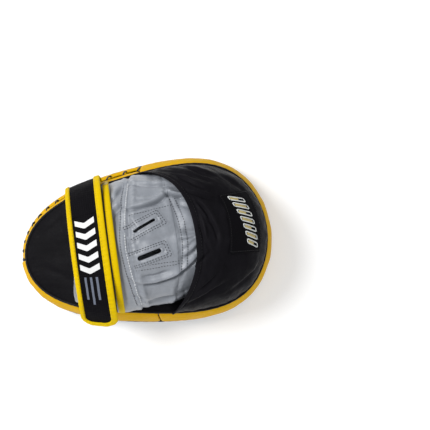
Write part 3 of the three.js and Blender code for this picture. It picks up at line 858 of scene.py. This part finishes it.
def sleeve(x0, x1, cy, cy_tip, half_width, low, high, high_tip):
    """A flattened cloth sleeve from x0 to x1, narrowing to its tip and closed there."""
    tip = 0.9

    def surface(u, v):
        t = 2 * np.pi * u
        along = np.minimum(v / tip, 1)
        close = np.sqrt(np.clip(1 - np.clip((v - tip) / (1 - tip), 0, 1) ** 2, 0, 1))
        w = half_width * (1 - 0.35 * along * along) * close
        tall = (lerp(high, high_tip, along) - low) / 2
        x = lerp(x0, x1, np.minimum(along, 1)) + 3 * np.clip((v - tip) / (1 - tip), 0, 1)
        y = lerp(cy, cy_tip, along) + w * np.cos(t)
        return on_back(x, y, low + tall + tall * close * np.sin(t))

    return surface


def make_sleeves():
    forms = (
        ("finger_sleeve", (48.5, 85, 0, 0, 38, 3, 27, 14)),
        ("thumb_sleeve", (46, 67, -50, -46, 7, 3, 15, 12)),
    )
    for name, form in forms:
        surface = sleeve(*form)
        inside = on_back(np.array(form[0] + 14.0), np.array(float(form[2])), np.array(9.0))
        stand_in(name, "_cloth", surface, (72, 30), (120, 45), 1.2, tuple(inside), LINING, looped=True,
                 rims=(False, False, True, False),
                 relief=lambda u, v: -0.3 + 0.3 * wave_noise(120 * np.abs(u - 0.5), 45 * v, 15, 41))


# ---- Glove ----
def glove_height(x):
    return GLOVE_HEIGHT - 2.5 * smooth(-8, GLOVE_FROM, x) - 12 * smooth(38, 66, x)


def glove_feet(x, thin=0.0):
    narrow = thin + 10 * smooth(20, 66, x)
    flare = 4.5 * smooth(-3, -15, x)  # the cuff end's open side spreads to the rim
    return GLOVE_LACED_WIDTH - narrow - 4 * smooth(0, GLOVE_FROM, x), GLOVE_OPEN_WIDTH - narrow + flare


def glove_point(x, s, lift=0.0):
    laced, opened = glove_feet(x, -lift)
    return arch(x, s, glove_height(x) + lift, laced, opened)


def glove_lines():
    """Where the glove's panels meet: x at the top of the arch, and how far each line bows."""
    lines = (GLOVE_FROM, GLOVE_SEAM, KNUCKLE_SEAM, GLOVE_TO)
    return list(zip(lines, (0, -4, 6, 8)))


def glove_panel(start, end, s0, s1, lift=0.0):
    def surface(u, v):
        s = lerp(s0, s1, v)
        x = lerp(start[0], end[0], u) + lerp(start[1], end[1], u) * (np.sin(np.pi * s) - 1)
        return glove_point(x, s, lift)

    return surface


# Creases of the glove: (start, bend, end) in x and y, then width, valley and ridge, in millimetres.
# A negative valley stands up as a ridge.
GLOVE_FOLDS = (
    (((-17, 56), (6, 49), (28, 48)), 1.5, 2.6, 2.0),
    (((-19, 31), (4, 29), (20, 40)), 1.3, 4.4, 3.6),
    (((-17, 43), (2, 36), (20, 41)), 0.9, -1.4, 0.0),
    (((16, 41), (26, 37), (38, 36)), 1.2, 4.8, 3.0),
    (((-15, -38), (12, -42), (40, -20)), 1.4, 4.6, 3.6),
    (((-15, -31), (0, -33), (12, -28)), 1.5, 2.0, 0.0),
    (((24, -50), (4, -55), (-12, -54)), 1.5, 3.2, 2.2),
    (((24, -2), (30, -3), (38, -1)), 0.9, 1.8, 1.2),
    (((27, 5), (34, 3), (46, 4)), 2.8, 2.6, 0.0),
    (((25, -19), (32, -17), (42, -9)), 2.0, 2.2, 1.8),
    (((24, -12), (30, -10), (38, -4)), 1.8, 1.1, 0.9),
    (((-31, 40), (-25, 48), (-17, 55)), 1.6, 2.2, 1.8),
    (((-33, 26), (-28, 33), (-20, 36)), 2.2, 3.0, 2.4),
    (((-28, 16), (-31, -2), (-27, -20)), 2.6, -1.5, 0.0),
    (((-26, -30), (-22, -36), (-17, -38)), 1.6, 1.6, 1.3),
    (((-24, -46), (-19, -48), (-14, -52)), 1.5, 1.8, 1.4),
    (((-24, 6), (-21, 0), (-22, -9)), 1.2, 1.0, 0.8),
    (((27, 30), (34, 26), (42, 24)), 2.2, 1.2, 1.0),
    (((-15, 24), (-4, 25), (8, 31)), 1.6, 1.1, 0.8),
    (((-12, 2), (2, -2), (18, 3)), 3.4, 1.3, 0.9),
    (((-18, 20), (-12, 12), (-17, -2)), 2.0, 0.9, 0.6),
)
SLIT_LENGTH, TAPE_LENGTH, TAPE_WIDTH = 22.5, 33.0, 17.0


def seam_x(seam, y):
    """Where the cuff or knuckle seam runs, in space, at each y."""
    if seam == 0:
        return -21.5 + 6.5 * np.clip(np.abs(y + 4) / 52, 0, 1.2) ** 1.6
    return 24.5 - 4.0 * np.clip(np.abs(y) / 34, 0, 1.4) ** 2


def glove_shape(x, y):
    """Relief of the glove's leather: puffed panels, seams, puckers, folds and fine wrinkles."""
    total = 0.6 * wave_noise(x, y, 28, 51, 2) + 0.08 * wave_noise(x, y, 9, 52, 2)
    for seam, deep in ((0, 0.75), (1, 0.35)):
        off = x - seam_x(seam, y)
        beside = np.exp(-(((np.abs(off) - 4.2) / 2.2) ** 2))
        total = total - 1.3 * deep * np.exp(-((off / 1.5) ** 2)) + 0.9 * deep * beside
        pucker = np.sin(y * 2 * np.pi / 4.3 + 1.5 * np.sin(y / 7) + seam)
        total = total + 0.3 * deep * pucker * np.exp(-((np.abs(off) - 2.5) / 3.0) ** 2)
    fingers = smooth(25, 30, x)
    total = total + fingers * (3.2 * np.exp(-(((x - 33) / 8) ** 2 + ((y - 17) / 9) ** 2)) - 0.3)
    total = total + 1.6 * np.exp(-(((x - 3) / 16) ** 2)) * np.exp(-((y / 30) ** 4))
    return total + folds(x, y, GLOVE_FOLDS) + slit_lips(x, y)


def slit_lips(x, y):
    """The leather rises a little to each slit and turns down at its rim."""
    total = 0 * x
    for _, cx, cy, width, angle in SLITS:
        a = (x - cx) * math.cos(angle) + (y - cy) * math.sin(angle)
        b = (y - cy) * math.cos(angle) - (x - cx) * math.sin(angle)
        far = np.hypot(a - np.clip(a, -SLIT_LENGTH / 2 + 1.5, SLIT_LENGTH / 2 - 1.5), b) - width / 2
        total = total + 0.3 * np.exp(-(((far - 1.8) / 1.5) ** 2)) - 0.7 * np.exp(-((far / 0.9) ** 2))
    return total


def glove_relief(surface):
    def relief(u, v):
        p = surface(u, v)
        return glove_shape(p[..., 0], p[..., 1])

    return relief


GLOVE_INSIDE = (0, 0, 60)
GLOVE_SKIN, GUSSET_SKIN, TAPE_SKIN = 1.5, 1.0, 0.9
LACED_FOOT, OPEN_FOOT = 0.015, 0.025  # the arch's shares where the glove starts and ends


def cut_slit(obj, spot, out, length, width, angle):
    """Cuts a round-ended slit through a panel's two faces and joins them round its rim."""
    up = Vector(out).normalized()
    level = Vector((0, 1, 0)).cross(up).normalized()
    along = level * math.cos(angle) + up.cross(level) * math.sin(angle)
    across = up.cross(along)
    reach, radius, middle = (length - width) / 2, width / 2, Vector(spot)

    def from_axis(at):
        d = (at - middle) * 1000
        a, b = d.dot(along), d.dot(across)
        nearest = max(-reach, min(reach, a))
        return a - nearest, b

    bm = bmesh.new()
    bm.from_mesh(obj.data)
    inside = [f for f in bm.faces if math.hypot(*from_axis(f.calc_center_median())) < radius
              and (f.calc_center_median() - middle).length * 1000 < length]
    bmesh.ops.delete(bm, geom=inside, context="FACES")
    rim = [e for e in bm.edges if e.is_boundary]
    for vert in {v for e in rim for v in e.verts}:
        a, b = from_axis(vert.co)
        far = max(math.hypot(a, b), 1e-6)
        vert.co += (along * a + across * b) * ((radius / far - 1) / 1000)
    bmesh.ops.bridge_loops(bm, edges=rim)
    bmesh.ops.recalc_face_normals(bm, faces=bm.faces)
    bm.to_mesh(obj.data)
    bm.free()
    obj.data.shade_smooth()


# Vent slits: middle in x and y, width, and turn towards the laced side.
SLITS = (("upper", -3.5, 14.0, 2.7, 0.4), ("lower", -2.5, -11.7, 4.3, 0.25))
GLOVE_TUCK = 5.5  # how far the glove runs on under the cuff's binding


def share_at(x, y):
    """The share of the glove's arch that lies over y."""
    laced, opened = glove_feet(np.asarray(x, float))
    return np.arccos(np.clip(y / np.where(np.asarray(y) > 0, laced, opened), -1, 1)) / np.pi


def slit_frame(x, y, angle):
    """A flat frame laid on the glove round one slit: along and across it, in millimetres."""

    def surface(u, v, long=TAPE_LENGTH, wide=TAPE_WIDTH, lift=0.75):
        along, across = long * (u - 0.5), wide * (v - 0.5)
        here = x + along * math.cos(angle) - across * math.sin(angle)
        there = y + along * math.sin(angle) + across * math.cos(angle)
        return glove_point(here, share_at(here, there), lift)

    return surface


def tucked(surface):
    """The glove's wrist end, dipping where it goes in under the cuff's binding."""

    def dipped(u, v):
        p = surface(u, v)
        p[..., 2] -= 2.6 * smooth(-27.0, -31.5, p[..., 0])
        return p

    return dipped


def make_glove():
    start, cuff_line, knuckle_line, end = glove_lines()
    start = (start[0] - GLOVE_TUCK, start[1])
    panels = {}
    spans = (
        ("glove_cuff_panel", start, cuff_line, (30, 220), (13, 160), 0.0),
        ("glove_back_panel", cuff_line, knuckle_line, (100, 240), (38, 160), 0.45),
        ("glove_finger_panel", knuckle_line, end, (64, 220), (30, 150), 0.0),
    )
    for name, a, b, count, size, lift in spans:
        over = 1.0 if lift == 0 else 0.0  # the outer panels' edges run on under the middle one
        ends = (a[0] - over, a[1]), (b[0] + over, b[1])
        surface = tucked(glove_panel(*ends, LACED_FOOT, 1 - OPEN_FOOT, lift))
        relief = glove_relief(surface)
        panels[name] = stand_in(name, "_leather", surface, count, size, GLOVE_SKIN, GLOVE_INSIDE, GREY,
                                relief=relief)
    for name, s0, s1 in (("gusset_laced_side", 0.0, 0.1), ("gusset_open_side", 0.9, 1.0)):
        surface = glove_panel((GLOVE_FROM, 0), end, s0, s1, -2.6)
        stand_in(name, "_leather", surface, (60, 12), (74, 26), GUSSET_SKIN, GLOVE_INSIDE, BACK,
                 relief=roughness(0.5, 74, 20, 16, 61))
    light_rows, dark_rows = seam_rows()
    dark_rows += make_slits(panels["glove_back_panel"])
    stitches("glove_seam_stitches", light_rows, GREY_THREAD, (2.5, 2.1, 0.5))
    stitches("glove_stitches", dark_rows, SLATE_THREAD, (2.5, 1.7, 0.4))


def make_slits(panel):
    """Lays a tape round each slit and cuts the slit through it and the panel. Gives the tapes' seams."""
    rows = []
    for label, x, y, width, angle in SLITS:
        tape = slit_frame(x, y, angle)
        relief = glove_relief(tape)
        size = (TAPE_LENGTH, TAPE_WIDTH)
        piece = stand_in("slit_tape_" + label, "_leather", tape, (56, 30), size, TAPE_SKIN, GLOVE_INSIDE,
                         GREY, relief=relief)
        spot, out = on_sheet(tape, np.array([0.5]), np.array([0.5]), 0.0, GLOVE_INSIDE, relief)
        for target in (piece, panel):
            cut_slit(target, spot[0], out[0], SLIT_LENGTH, width, angle)
        for inset in (0.09, 0.2):
            last = 1 - inset * 0.55
            side = np.linspace(0.03, last, 60)
            across = np.linspace(inset, 1 - inset, 40)
            for row in ((side, inset), (side, 1 - inset), (last, across)):
                rows.append(on_sheet(tape, *row, 0.12, GLOVE_INSIDE, relief))
    return rows


def seam_rows():
    """Double stitching along the cuff and knuckle seams and below the lower slit."""

    def surface(x, s):
        return glove_point(x, s, 0.2)

    def line(x, y):
        return on_sheet(surface, x, share_at(x, y), 0.2, GLOVE_INSIDE, glove_relief(surface))

    light, dark = [], []
    y = np.linspace(-56, 56, 160)
    light.append(line(seam_x(0, y) + 1.6, y))
    dark.append(line(seam_x(0, y) - 2.0, y))
    y = np.linspace(-30, 36, 120)
    dark += [line(seam_x(1, y) + off, y) for off in (-2.2, 1.6)]
    x = np.linspace(-15, 19, 60)
    dark += [line(x, -20.5 + 0 * x), line(x, -24.0 + 0.05 * x), line(x, 27.0 + 0.14 * x)]
    return light, dark


# ---- Hood ----
def hood_point(a, b, lift=0.0):
    across = np.sin(b * np.pi / 2)
    ex, ey = outline(b * HOOD_TURN, 1, 0.6)
    corner = np.where(across > 0, np.abs(across) ** 8, 0)  # the laced side's corner reaches further
    ox = HOOD_EDGE - HOOD_SWEEP * np.abs(across) ** 2.4 - HOOD_CORNER * corner
    oy = np.sign(across) * np.abs(across) * (70 - 3 * corner)
    high = HOOD_HEIGHT * np.clip(1 - np.abs(across) ** 2.6, 0, 1) ** 0.5
    fall = np.clip(1 - np.clip(a, 0, 1) ** 2.2, 0, 1) ** 0.72
    return on_back(lerp(ox, ex, a), lerp(oy, ey, a), 0.4 + np.clip(high * fall + lift, 0, None))


HOOD_INSIDE = (40, 0, 40)
HOOD_FOLDS = (
    (((14, 68), (34, 61), (56, 49)), 1.3, -1.7, 0.0),
    (((20, 66), (40, 57), (62, 47)), 1.7, 1.9, 1.4),
    (((38, 66), (50, 57), (64, 51)), 1.4, 1.5, 1.4),
    (((29, 58), (40, 50), (54, 40)), 1.5, 1.9, 1.6),
    (((44, 62), (56, 58), (68, 51)), 1.4, 1.4, 1.3),
    (((35, 42), (46, 35), (60, 30)), 1.5, 1.7, 1.4),
    (((40, 31), (50, 28), (56, 4)), 1.4, 1.9, 1.6),
    (((45, 18), (48, 4), (46, -10)), 1.2, -1.7, 0.0),
    (((50, 13), (60, 4), (57, -9)), 1.4, 1.7, 1.6),
    (((43, 11), (44, -4), (50, -16)), 1.3, 1.7, 1.4),
    (((38, 36), (46, 26), (50, 12)), 1.2, -1.4, 0.0),
    (((36, -27), (42, -21), (50, -17)), 1.6, 1.4, 1.1),
    (((32, -52), (44, -47), (56, -36)), 1.9, 1.5, 1.3),
    (((24, -61), (40, -58), (62, -46)), 2.0, 1.4, 1.3),
    (((72, 52), (84, 46), (96, 32)), 2.0, 1.0, 1.0),
    (((66, -54), (82, -50), (98, -34)), 2.0, 1.0, 1.0),
)


def make_hood():
    def surface(u, v):
        return hood_point(u, lerp(-0.985, 0.985, v))

    def relief(u, v):
        p = surface(u, v)
        x, y = p[..., 0], p[..., 1]
        hem = -0.5 * np.exp(-(((u - 0.075) / 0.012) ** 2)) + 0.5 * (1 - smooth(0.03, 0.07, u))
        soft = 0.5 * wave_noise(x, y, 30, 71) + 0.2 * wave_noise(x, y, 9, 72)
        pleat = 0.3 * np.sin(150 * v + 3 * np.sin(20 * v)) * smooth(0.86, 0.95, u) * (1 - smooth(0.97, 1, u))
        total = hem + soft * smooth(0, 0.1, u) + pleat + folds(x, y, HOOD_FOLDS)
        return total * (1 - smooth(0.96, 1, u))

    hood = shell("hood_leather", surface, (96, 150), (90, 200), 1.4, HOOD_INSIDE, HOOD, relief=relief)
    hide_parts("finger_hood")
    v = np.linspace(0.02, 0.98, 260)
    hem_row = [(0.055, v)]
    sew("hood_hem_stitches", surface, hem_row, BLACK_THREAD, BINDING_SIZE, 0.15, HOOD_INSIDE, relief)


PATCH_A, PATCH_B, PATCH_LONG, PATCH_WIDE = 0.58, 0.06, 0.42, 0.48
MOTIF_BARS = 7


def make_patch():
    def surface(u, v, lift=1.3):
        a = PATCH_A + PATCH_LONG * (u - 0.5) + 0.03 * (v - 0.5)
        return hood_point(a, PATCH_B + PATCH_WIDE * (v - 0.5), lift)

    stand_in("hood_patch", "_cloth", surface, (36, 44), (38, 58), 1.0, HOOD_INSIDE, PATCH,
             relief=roughness(0.12, 38, 58, 14, 81))
    s = np.linspace(0.03, 0.97, 80)
    rows = [row for edge in (0.035, 0.965) for row in ((s, edge), (edge, s))]
    sew("hood_patch_stitches", surface, rows, BLACK_THREAD, (2.2, 1.8, 0.26), 0.1, HOOD_INSIDE)

    # A plain motif of slanted satin-stitched bars, outlined in white and filled in gold.
    def satin(name, bars, look):
        lines = []
        for u0, v0, u1, v1, girth in bars:
            steps = np.linspace(0, 1, 14)
            path, out = on_sheet(surface, lerp(u0, u1, steps), lerp(v0, v1, steps), 0.15, HOOD_INSIDE)
            lines.append(tube(path, girth / 1000, 8, 0.45, out))
        object_from(name, joined(lines), look)

    outline_bars, fill_bars = [], []
    lean, tall, thread_r = 0.08, 0.062, 0.6
    for i in range(MOTIF_BARS):
        v0 = 0.93 - 0.118 * i
        u0, u1 = 0.22 + 0.045 * i, 0.66 + 0.03 * i
        outline_bars.append((u0, v0, u1, v0 - lean, thread_r))
        outline_bars.append((u0 + 0.02, v0 - tall, u1 + 0.02, v0 - lean - tall, thread_r))
        outline_bars.append((u1, v0 - lean, u1 + 0.02, v0 - lean - tall, thread_r))
        outline_bars.append((u0, v0, u0 + 0.02, v0 - tall, thread_r))
        reach = 0.62 if i % 2 == 0 else 0.9
        middle = v0 - tall * 0.58
        fill_bars.append((u0 + 0.04, middle, lerp(u0, u1, reach), middle - lean * reach, 1.1))
    satin("hood_motif_outline", outline_bars, WHITE_THREAD)
    satin("hood_motif_fill", fill_bars, GOLD_THREAD)


# ---- Wrist cuff ----
def cuff_point(x, s, grow):
    foot = back_half_width(x) - CUFF_FOOT_IN + grow
    return arch(x, s, CUFF_HEIGHT + grow, foot, foot)


def cuff_surface(x0, x1, grow):
    return lambda u, v: cuff_point(lerp(x0, x1, u), lerp(0.004, 0.996, v), grow)


CUFF_INSIDE = (-47, 0, 50)
TACKS = 6


def make_cuff():
    def band_relief(u, v):
        return 0.6 * hump(u, 0.6) + 0.2 * wave_noise(30 * u, 170 * v, 20, 91)

    band = stand_in("cuff_band", "_cloth", cuff_surface(CUFF_FROM - 0.5, CUFF_TO + 1.0, 0.2), (24, 120),
                    (30, 170), 1.7, CUFF_INSIDE, CUFF_CLOTH, relief=band_relief)

    def lining_surface(u, v):
        """The lining peeks out further on the open side."""
        wrist_edge = CUFF_FROM - 3.5 - 4.0 * smooth(0.6, 0.85, v)
        return cuff_point(lerp(wrist_edge, CUFF_TO + 1, u), lerp(0.004, 0.996, v), -1.9)

    stand_in("cuff_lining", "_leather", lining_surface, (26, 110), (36, 165), 1.6, CUFF_INSIDE, GREY,
             relief=roughness(0.35, 40, 165, 18, 92))
    spans = (
        ("cuff_binding_fingers", CUFF_TO + 1.2, CUFF_TO + BINDING_W + 1.4, 2.9),
        ("cuff_binding_wrist", CUFF_FROM - 4.2, CUFF_FROM - 0.4, 0.3),
    )
    rows = []
    for name, x0, x1, grow in spans:
        surface = cuff_surface(x0, x1, grow)
        stand_in(name, "_leather", surface, (12, 220), (x1 - x0, 175), 3.4, CUFF_INSIDE, LEMON,
                 relief=lambda u, v: 0.9 * hump(u) + 0.16 * np.sin(560 * v + 3 * np.sin(31 * v)))
        v = np.linspace(0.01, 0.99, 300)
        rows.append(on_sheet(surface, 0.3, v, 0.75, CUFF_INSIDE))
    stitches("cuff_binding_stitches", rows, LEMON_THREAD, BINDING_SIZE)
    corner = cuff_surface(CUFF_TO + 1.2, CUFF_TO + BINDING_W + 1.4, 3.9)
    tack = []
    for i in range(TACKS):
        across = np.linspace(0.05, 0.95, 5)
        tack.append(on_sheet(corner, across, 0.075 + 0.008 * i + 0.01 * across, 0.3, CUFF_INSIDE))
    stitches("cuff_bar_tack", tack, GOLD_THREAD, (7.0, 6.0, 0.34))

    def loop(u, v):
        return cuff_point(lerp(CUFF_FROM + 8, CUFF_TO - 8, u), lerp(10 / 18, 15 / 18, v), 1.6)

    stand_in("loop_patch", "_pile", loop, (20, 60), (16, 48), 0.9, CUFF_INSIDE, HOOK,
             relief=roughness(0.12, 16, 48, 3, 93))


# ---- Strap ----
STRAP_INSIDE = (-47, 0, 50)
MID_X, HALF_STRAP = (STRAP_FROM + STRAP_TO) / 2, (STRAP_TO - STRAP_FROM) / 2
SPLIT_SHARE = 0.34  # where the visible panel's two parts are sewn together
CORNER_R = 11.0  # of the free end's round corners


def strap_arch(x, s, grow):
    """The strap's arch; its free end flares outwards."""
    edge = back_half_width(x) + grow
    end = np.clip((s - FLARE_FROM) / (1 - FLARE_FROM), 0, 1) ** 2
    along = s - (1 - FLARE_FROM) * FLARE_EASE * end
    tip = edge + STRAP_TIP_OUT + FLARE_OUT * end
    return arch(x, along, CUFF_HEIGHT + STRAP_CLEAR + grow, edge + STRAP_ROOT_OUT, tip, 0.78)


def strap_point(x, s, grow):
    """s below 0 runs on over the edge of the back and down the side wall."""
    over = np.clip(-s / 0.09, 0, 1)
    t = np.arccos(np.clip((x + 2) / HALF_LENGTH, -1, 1))
    on_wall = in_pad(t, 1, 0.8, -grow - 2.2)
    top = strap_arch(x, np.clip(s, 0, 1), grow)
    return top + (on_wall - top) * over[..., None]


def arc_table():
    s = np.linspace(0, 1, 600)
    path = strap_arch(MID_X + 0 * s, s, STRAP_T)
    legs = np.linalg.norm(np.diff(path, axis=0), axis=1)
    return s, np.concatenate([[0], np.cumsum(legs)])


ARC_SHARE, ARC_RUN = arc_table()
ARC_END = ARC_RUN[-1]
SPLIT_RUN = float(np.interp(SPLIT_SHARE, ARC_SHARE, ARC_RUN))


def share_of(run):
    """The arch's share at a distance along the strap from its root, in millimetres."""
    return np.interp(run, ARC_RUN, ARC_SHARE)


def straight_band(side0, side1, s0, s1, grow):
    """A lengthwise part of the strap between two distances from its middle."""
    return lambda u, v: strap_point(MID_X + lerp(side0, side1, u), lerp(s0, s1, v), grow)


def tongue_path(run, inset):
    """Runs down one edge of the free half, round its end and back, inset from the outer edge."""
    half, radius = HALF_STRAP - inset, CORNER_R - inset
    straight = ARC_END - SPLIT_RUN - CORNER_R
    corner, flat = CORNER_R * math.pi / 2, 2 * (HALF_STRAP - CORNER_R)
    legs = [straight, corner, flat, corner, straight]
    ends = np.cumsum(legs)
    share = [np.clip((run - e + d) / d, 0, 1) for e, d in zip(ends, legs)]
    first, second = share[1] * math.pi / 2, share[3] * math.pi / 2
    x = -half + radius * (1 - np.cos(first)) + flat * share[2] + radius * np.sin(second)
    down = straight * share[0] + radius * np.sin(first) - radius * (1 - np.cos(second)) - straight * share[4]
    return x, SPLIT_RUN + down, ends[-1]


TONGUE_RUN = float(tongue_path(np.array(0.0), 0.0)[2])


def tongue_binding(grow):
    def surface(u, v):
        x, run, _ = tongue_path(v * TONGUE_RUN, BINDING_W * u)
        return strap_point(MID_X + x, share_of(run), grow)

    return surface


def tongue_panel(grow, inset=BINDING_W - 1.2):
    """The free half's panel, narrowing between the binding's inner corners."""
    radius, half = CORNER_R - inset, HALF_STRAP - inset
    last = ARC_END - inset

    def surface(u, v):
        run = lerp(SPLIT_RUN, last, v)
        into = np.clip(run - (last - radius), 0, radius)
        wide = half - radius + np.sqrt(np.clip(radius**2 - into**2, 0, None))
        return strap_point(MID_X + wide * (2 * u - 1), share_of(run), grow)

    return surface


def bend_at(obj, low_share, high_share):
    """Frees a piece from its body and bakes its place into its mesh; the arch's points at the two shares are
    found but not used.
    """
    low, high = (placed(strap_point(np.array(MID_X), np.array(at), 1.3)) for at in (low_share, high_share))
    obj.parent = None
    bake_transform(obj)


def blend_root(obj):
    bend_at(obj, -0.045, 0.05)


def blend_peel(obj):
    bend_at(obj, 0.43, 0.57)


def binding_relief(u, v):
    """A folded strip: round across, with the small ripples that the needle pulls in it."""
    return 0.7 * hump(u) + 0.14 * np.sin(300 * v + 3 * np.sin(29 * v))


def panel_relief(u, v):
    return 0.16 * wave_noise(19 * u, 110 * v, 14, 102) + 0.06 * wave_noise(19 * u, 110 * v, 4, 104)


ROOT_SHARE = -0.085


def make_strap():
    inner = HALF_STRAP - BINDING_W
    surface = straight_band(-inner - 1.2, inner + 1.2, ROOT_SHARE, SPLIT_SHARE, STRAP_T - 0.6)
    panel = shell("strap_root_panel", surface, (24, 100), (21, 75), 1.8, STRAP_INSIDE, STRAP_WEB,
                  rims=(False, False, True, False), relief=roughness(0.16, 19, 75, 14, 101))
    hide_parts("strap_base_panel", "strap_root_tab")
    blend_root(panel)
    for side, name in ((-1, "strap_base_binding_wrist"), (1, "strap_base_binding_fingers")):
        surface = straight_band(side * HALF_STRAP, side * inner, ROOT_SHARE, SPLIT_SHARE, STRAP_T)
        blend_root(stand_in(name, "_leather", surface, (10, 110), (BINDING_W, 75), 2.6, STRAP_INSIDE, LEMON,
                            relief=binding_relief, rims=(True, True, True, False)))
        row = (0.74, np.linspace(0.12, 0.99, 120))
        blend_root(sew(name + "_stitches", surface, [row], LEMON_THREAD, STRAP_SIZE, 0.62, STRAP_INSIDE))

    tip_panel = shell("strap_free_panel", tongue_panel(STRAP_T - 0.6), (24, 170), (21, 110), 1.8,
                      STRAP_INSIDE, STRAP_WEB, rims=(False,) * 4, relief=panel_relief)
    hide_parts("strap_tip_panel")
    blend_peel(tip_panel)
    surface = tongue_binding(STRAP_T)
    binding = shell("strap_free_binding", surface, (10, 420), (BINDING_W, TONGUE_RUN), 2.6,
                    STRAP_INSIDE, LEMON, relief=binding_relief, rims=(True, True, False, False))
    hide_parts("strap_tip_binding")
    blend_peel(binding)
    row = (0.74, np.linspace(0.004, 0.996, 420))
    blend_peel(sew("strap_free_stitches", surface, [row], LEMON_THREAD, STRAP_SIZE, 0.62, STRAP_INSIDE))

    def hook(u, v):
        return strap_arch(lerp(MID_X - 11, MID_X + 11, u), lerp(0.56, 0.84, v), 0.0)

    blend_peel(stand_in("hook_patch", "_tape", hook, (18, 60), (22, 52), 0.8, STRAP_INSIDE, HOOK,
                        relief=roughness(0.08, 22, 52, 3, 103)))


def strap_mark(corners, height=0.34):
    """A thin printed shape on the strap's panel, from its outline in across and along millimetres."""
    surface = tongue_panel(STRAP_T - 0.6)
    half, last = HALF_STRAP - BINDING_W + 1.2, ARC_END - BINDING_W + 1.2
    left, right = corners
    steps = np.linspace(0, 1, 16)
    rows = []
    for lift, edges in ((height, (left, right)), (-0.3, (right, left))):
        for edge in edges:
            path = np.array(edge, float)
            knots = np.linspace(0, 1, len(path))
            across = np.interp(steps, knots, path[:, 0])
            along = np.interp(steps, knots, path[:, 1])
            u, v = (across / half + 1) / 2, (along - SPLIT_RUN) / (last - SPLIT_RUN)
            rows.append(on_sheet(surface, u, v, lift, STRAP_INSIDE, panel_relief)[0])
    n = len(steps)
    faces = []
    for i in range(n - 1):
        for r in range(4):
            a, b = r * n, ((r + 1) % 4) * n
            faces.append((a + i, a + i + 1, b + i + 1, b + i))
    faces.append((0, n, 2 * n, 3 * n))
    faces.append((n - 1, 4 * n - 1, 3 * n - 1, 2 * n - 1))
    return np.concatenate(rows), faces


MARK_FROM, CHEVRONS, CHEVRON_PITCH, CHEVRON_THICK, CHEVRON_DEPTH = 66.0, 5, 10.4, 5.2, 4.2
BARS_LONG, BAR_WIDE = 27.0, 1.7


def make_strap_marks():
    """A plain row of chevrons, then three thin bars, in place of a printed name."""
    chevrons = []
    for i in range(CHEVRONS):
        start = MARK_FROM + CHEVRON_PITCH * i
        edges = []
        for along in (start, start + CHEVRON_THICK):
            edges.append(((-7.6, along), (0.0, along + CHEVRON_DEPTH), (7.6, along)))
        chevrons.append(strap_mark(edges))
    start = MARK_FROM + CHEVRON_PITCH * CHEVRONS + 2
    bars = []
    for i, across in enumerate((-4.4, 0.0, 4.4)):
        long = BARS_LONG - 5 * abs(i - 1)
        bars.append(strap_mark([((across - BAR_WIDE / 2, start), (across - BAR_WIDE / 2, start + long)),
                                ((across + BAR_WIDE / 2, start), (across + BAR_WIDE / 2, start + long))]))
    for name, marks, look in (("strap_chevrons", chevrons, WHITE_PRINT), ("strap_bars", bars, GREY_PRINT)):
        blend_peel(object_from(name, joined(marks), look, "strap_tip", smooth_shade=False))


make_strike_face()
make_back_cover()
make_side_panels()
make_lace()
make_piping()
finish_foams()
make_palm()
make_sleeves()
make_glove()
make_hood()
make_patch()
make_cuff()
make_strap()
make_strap_marks()
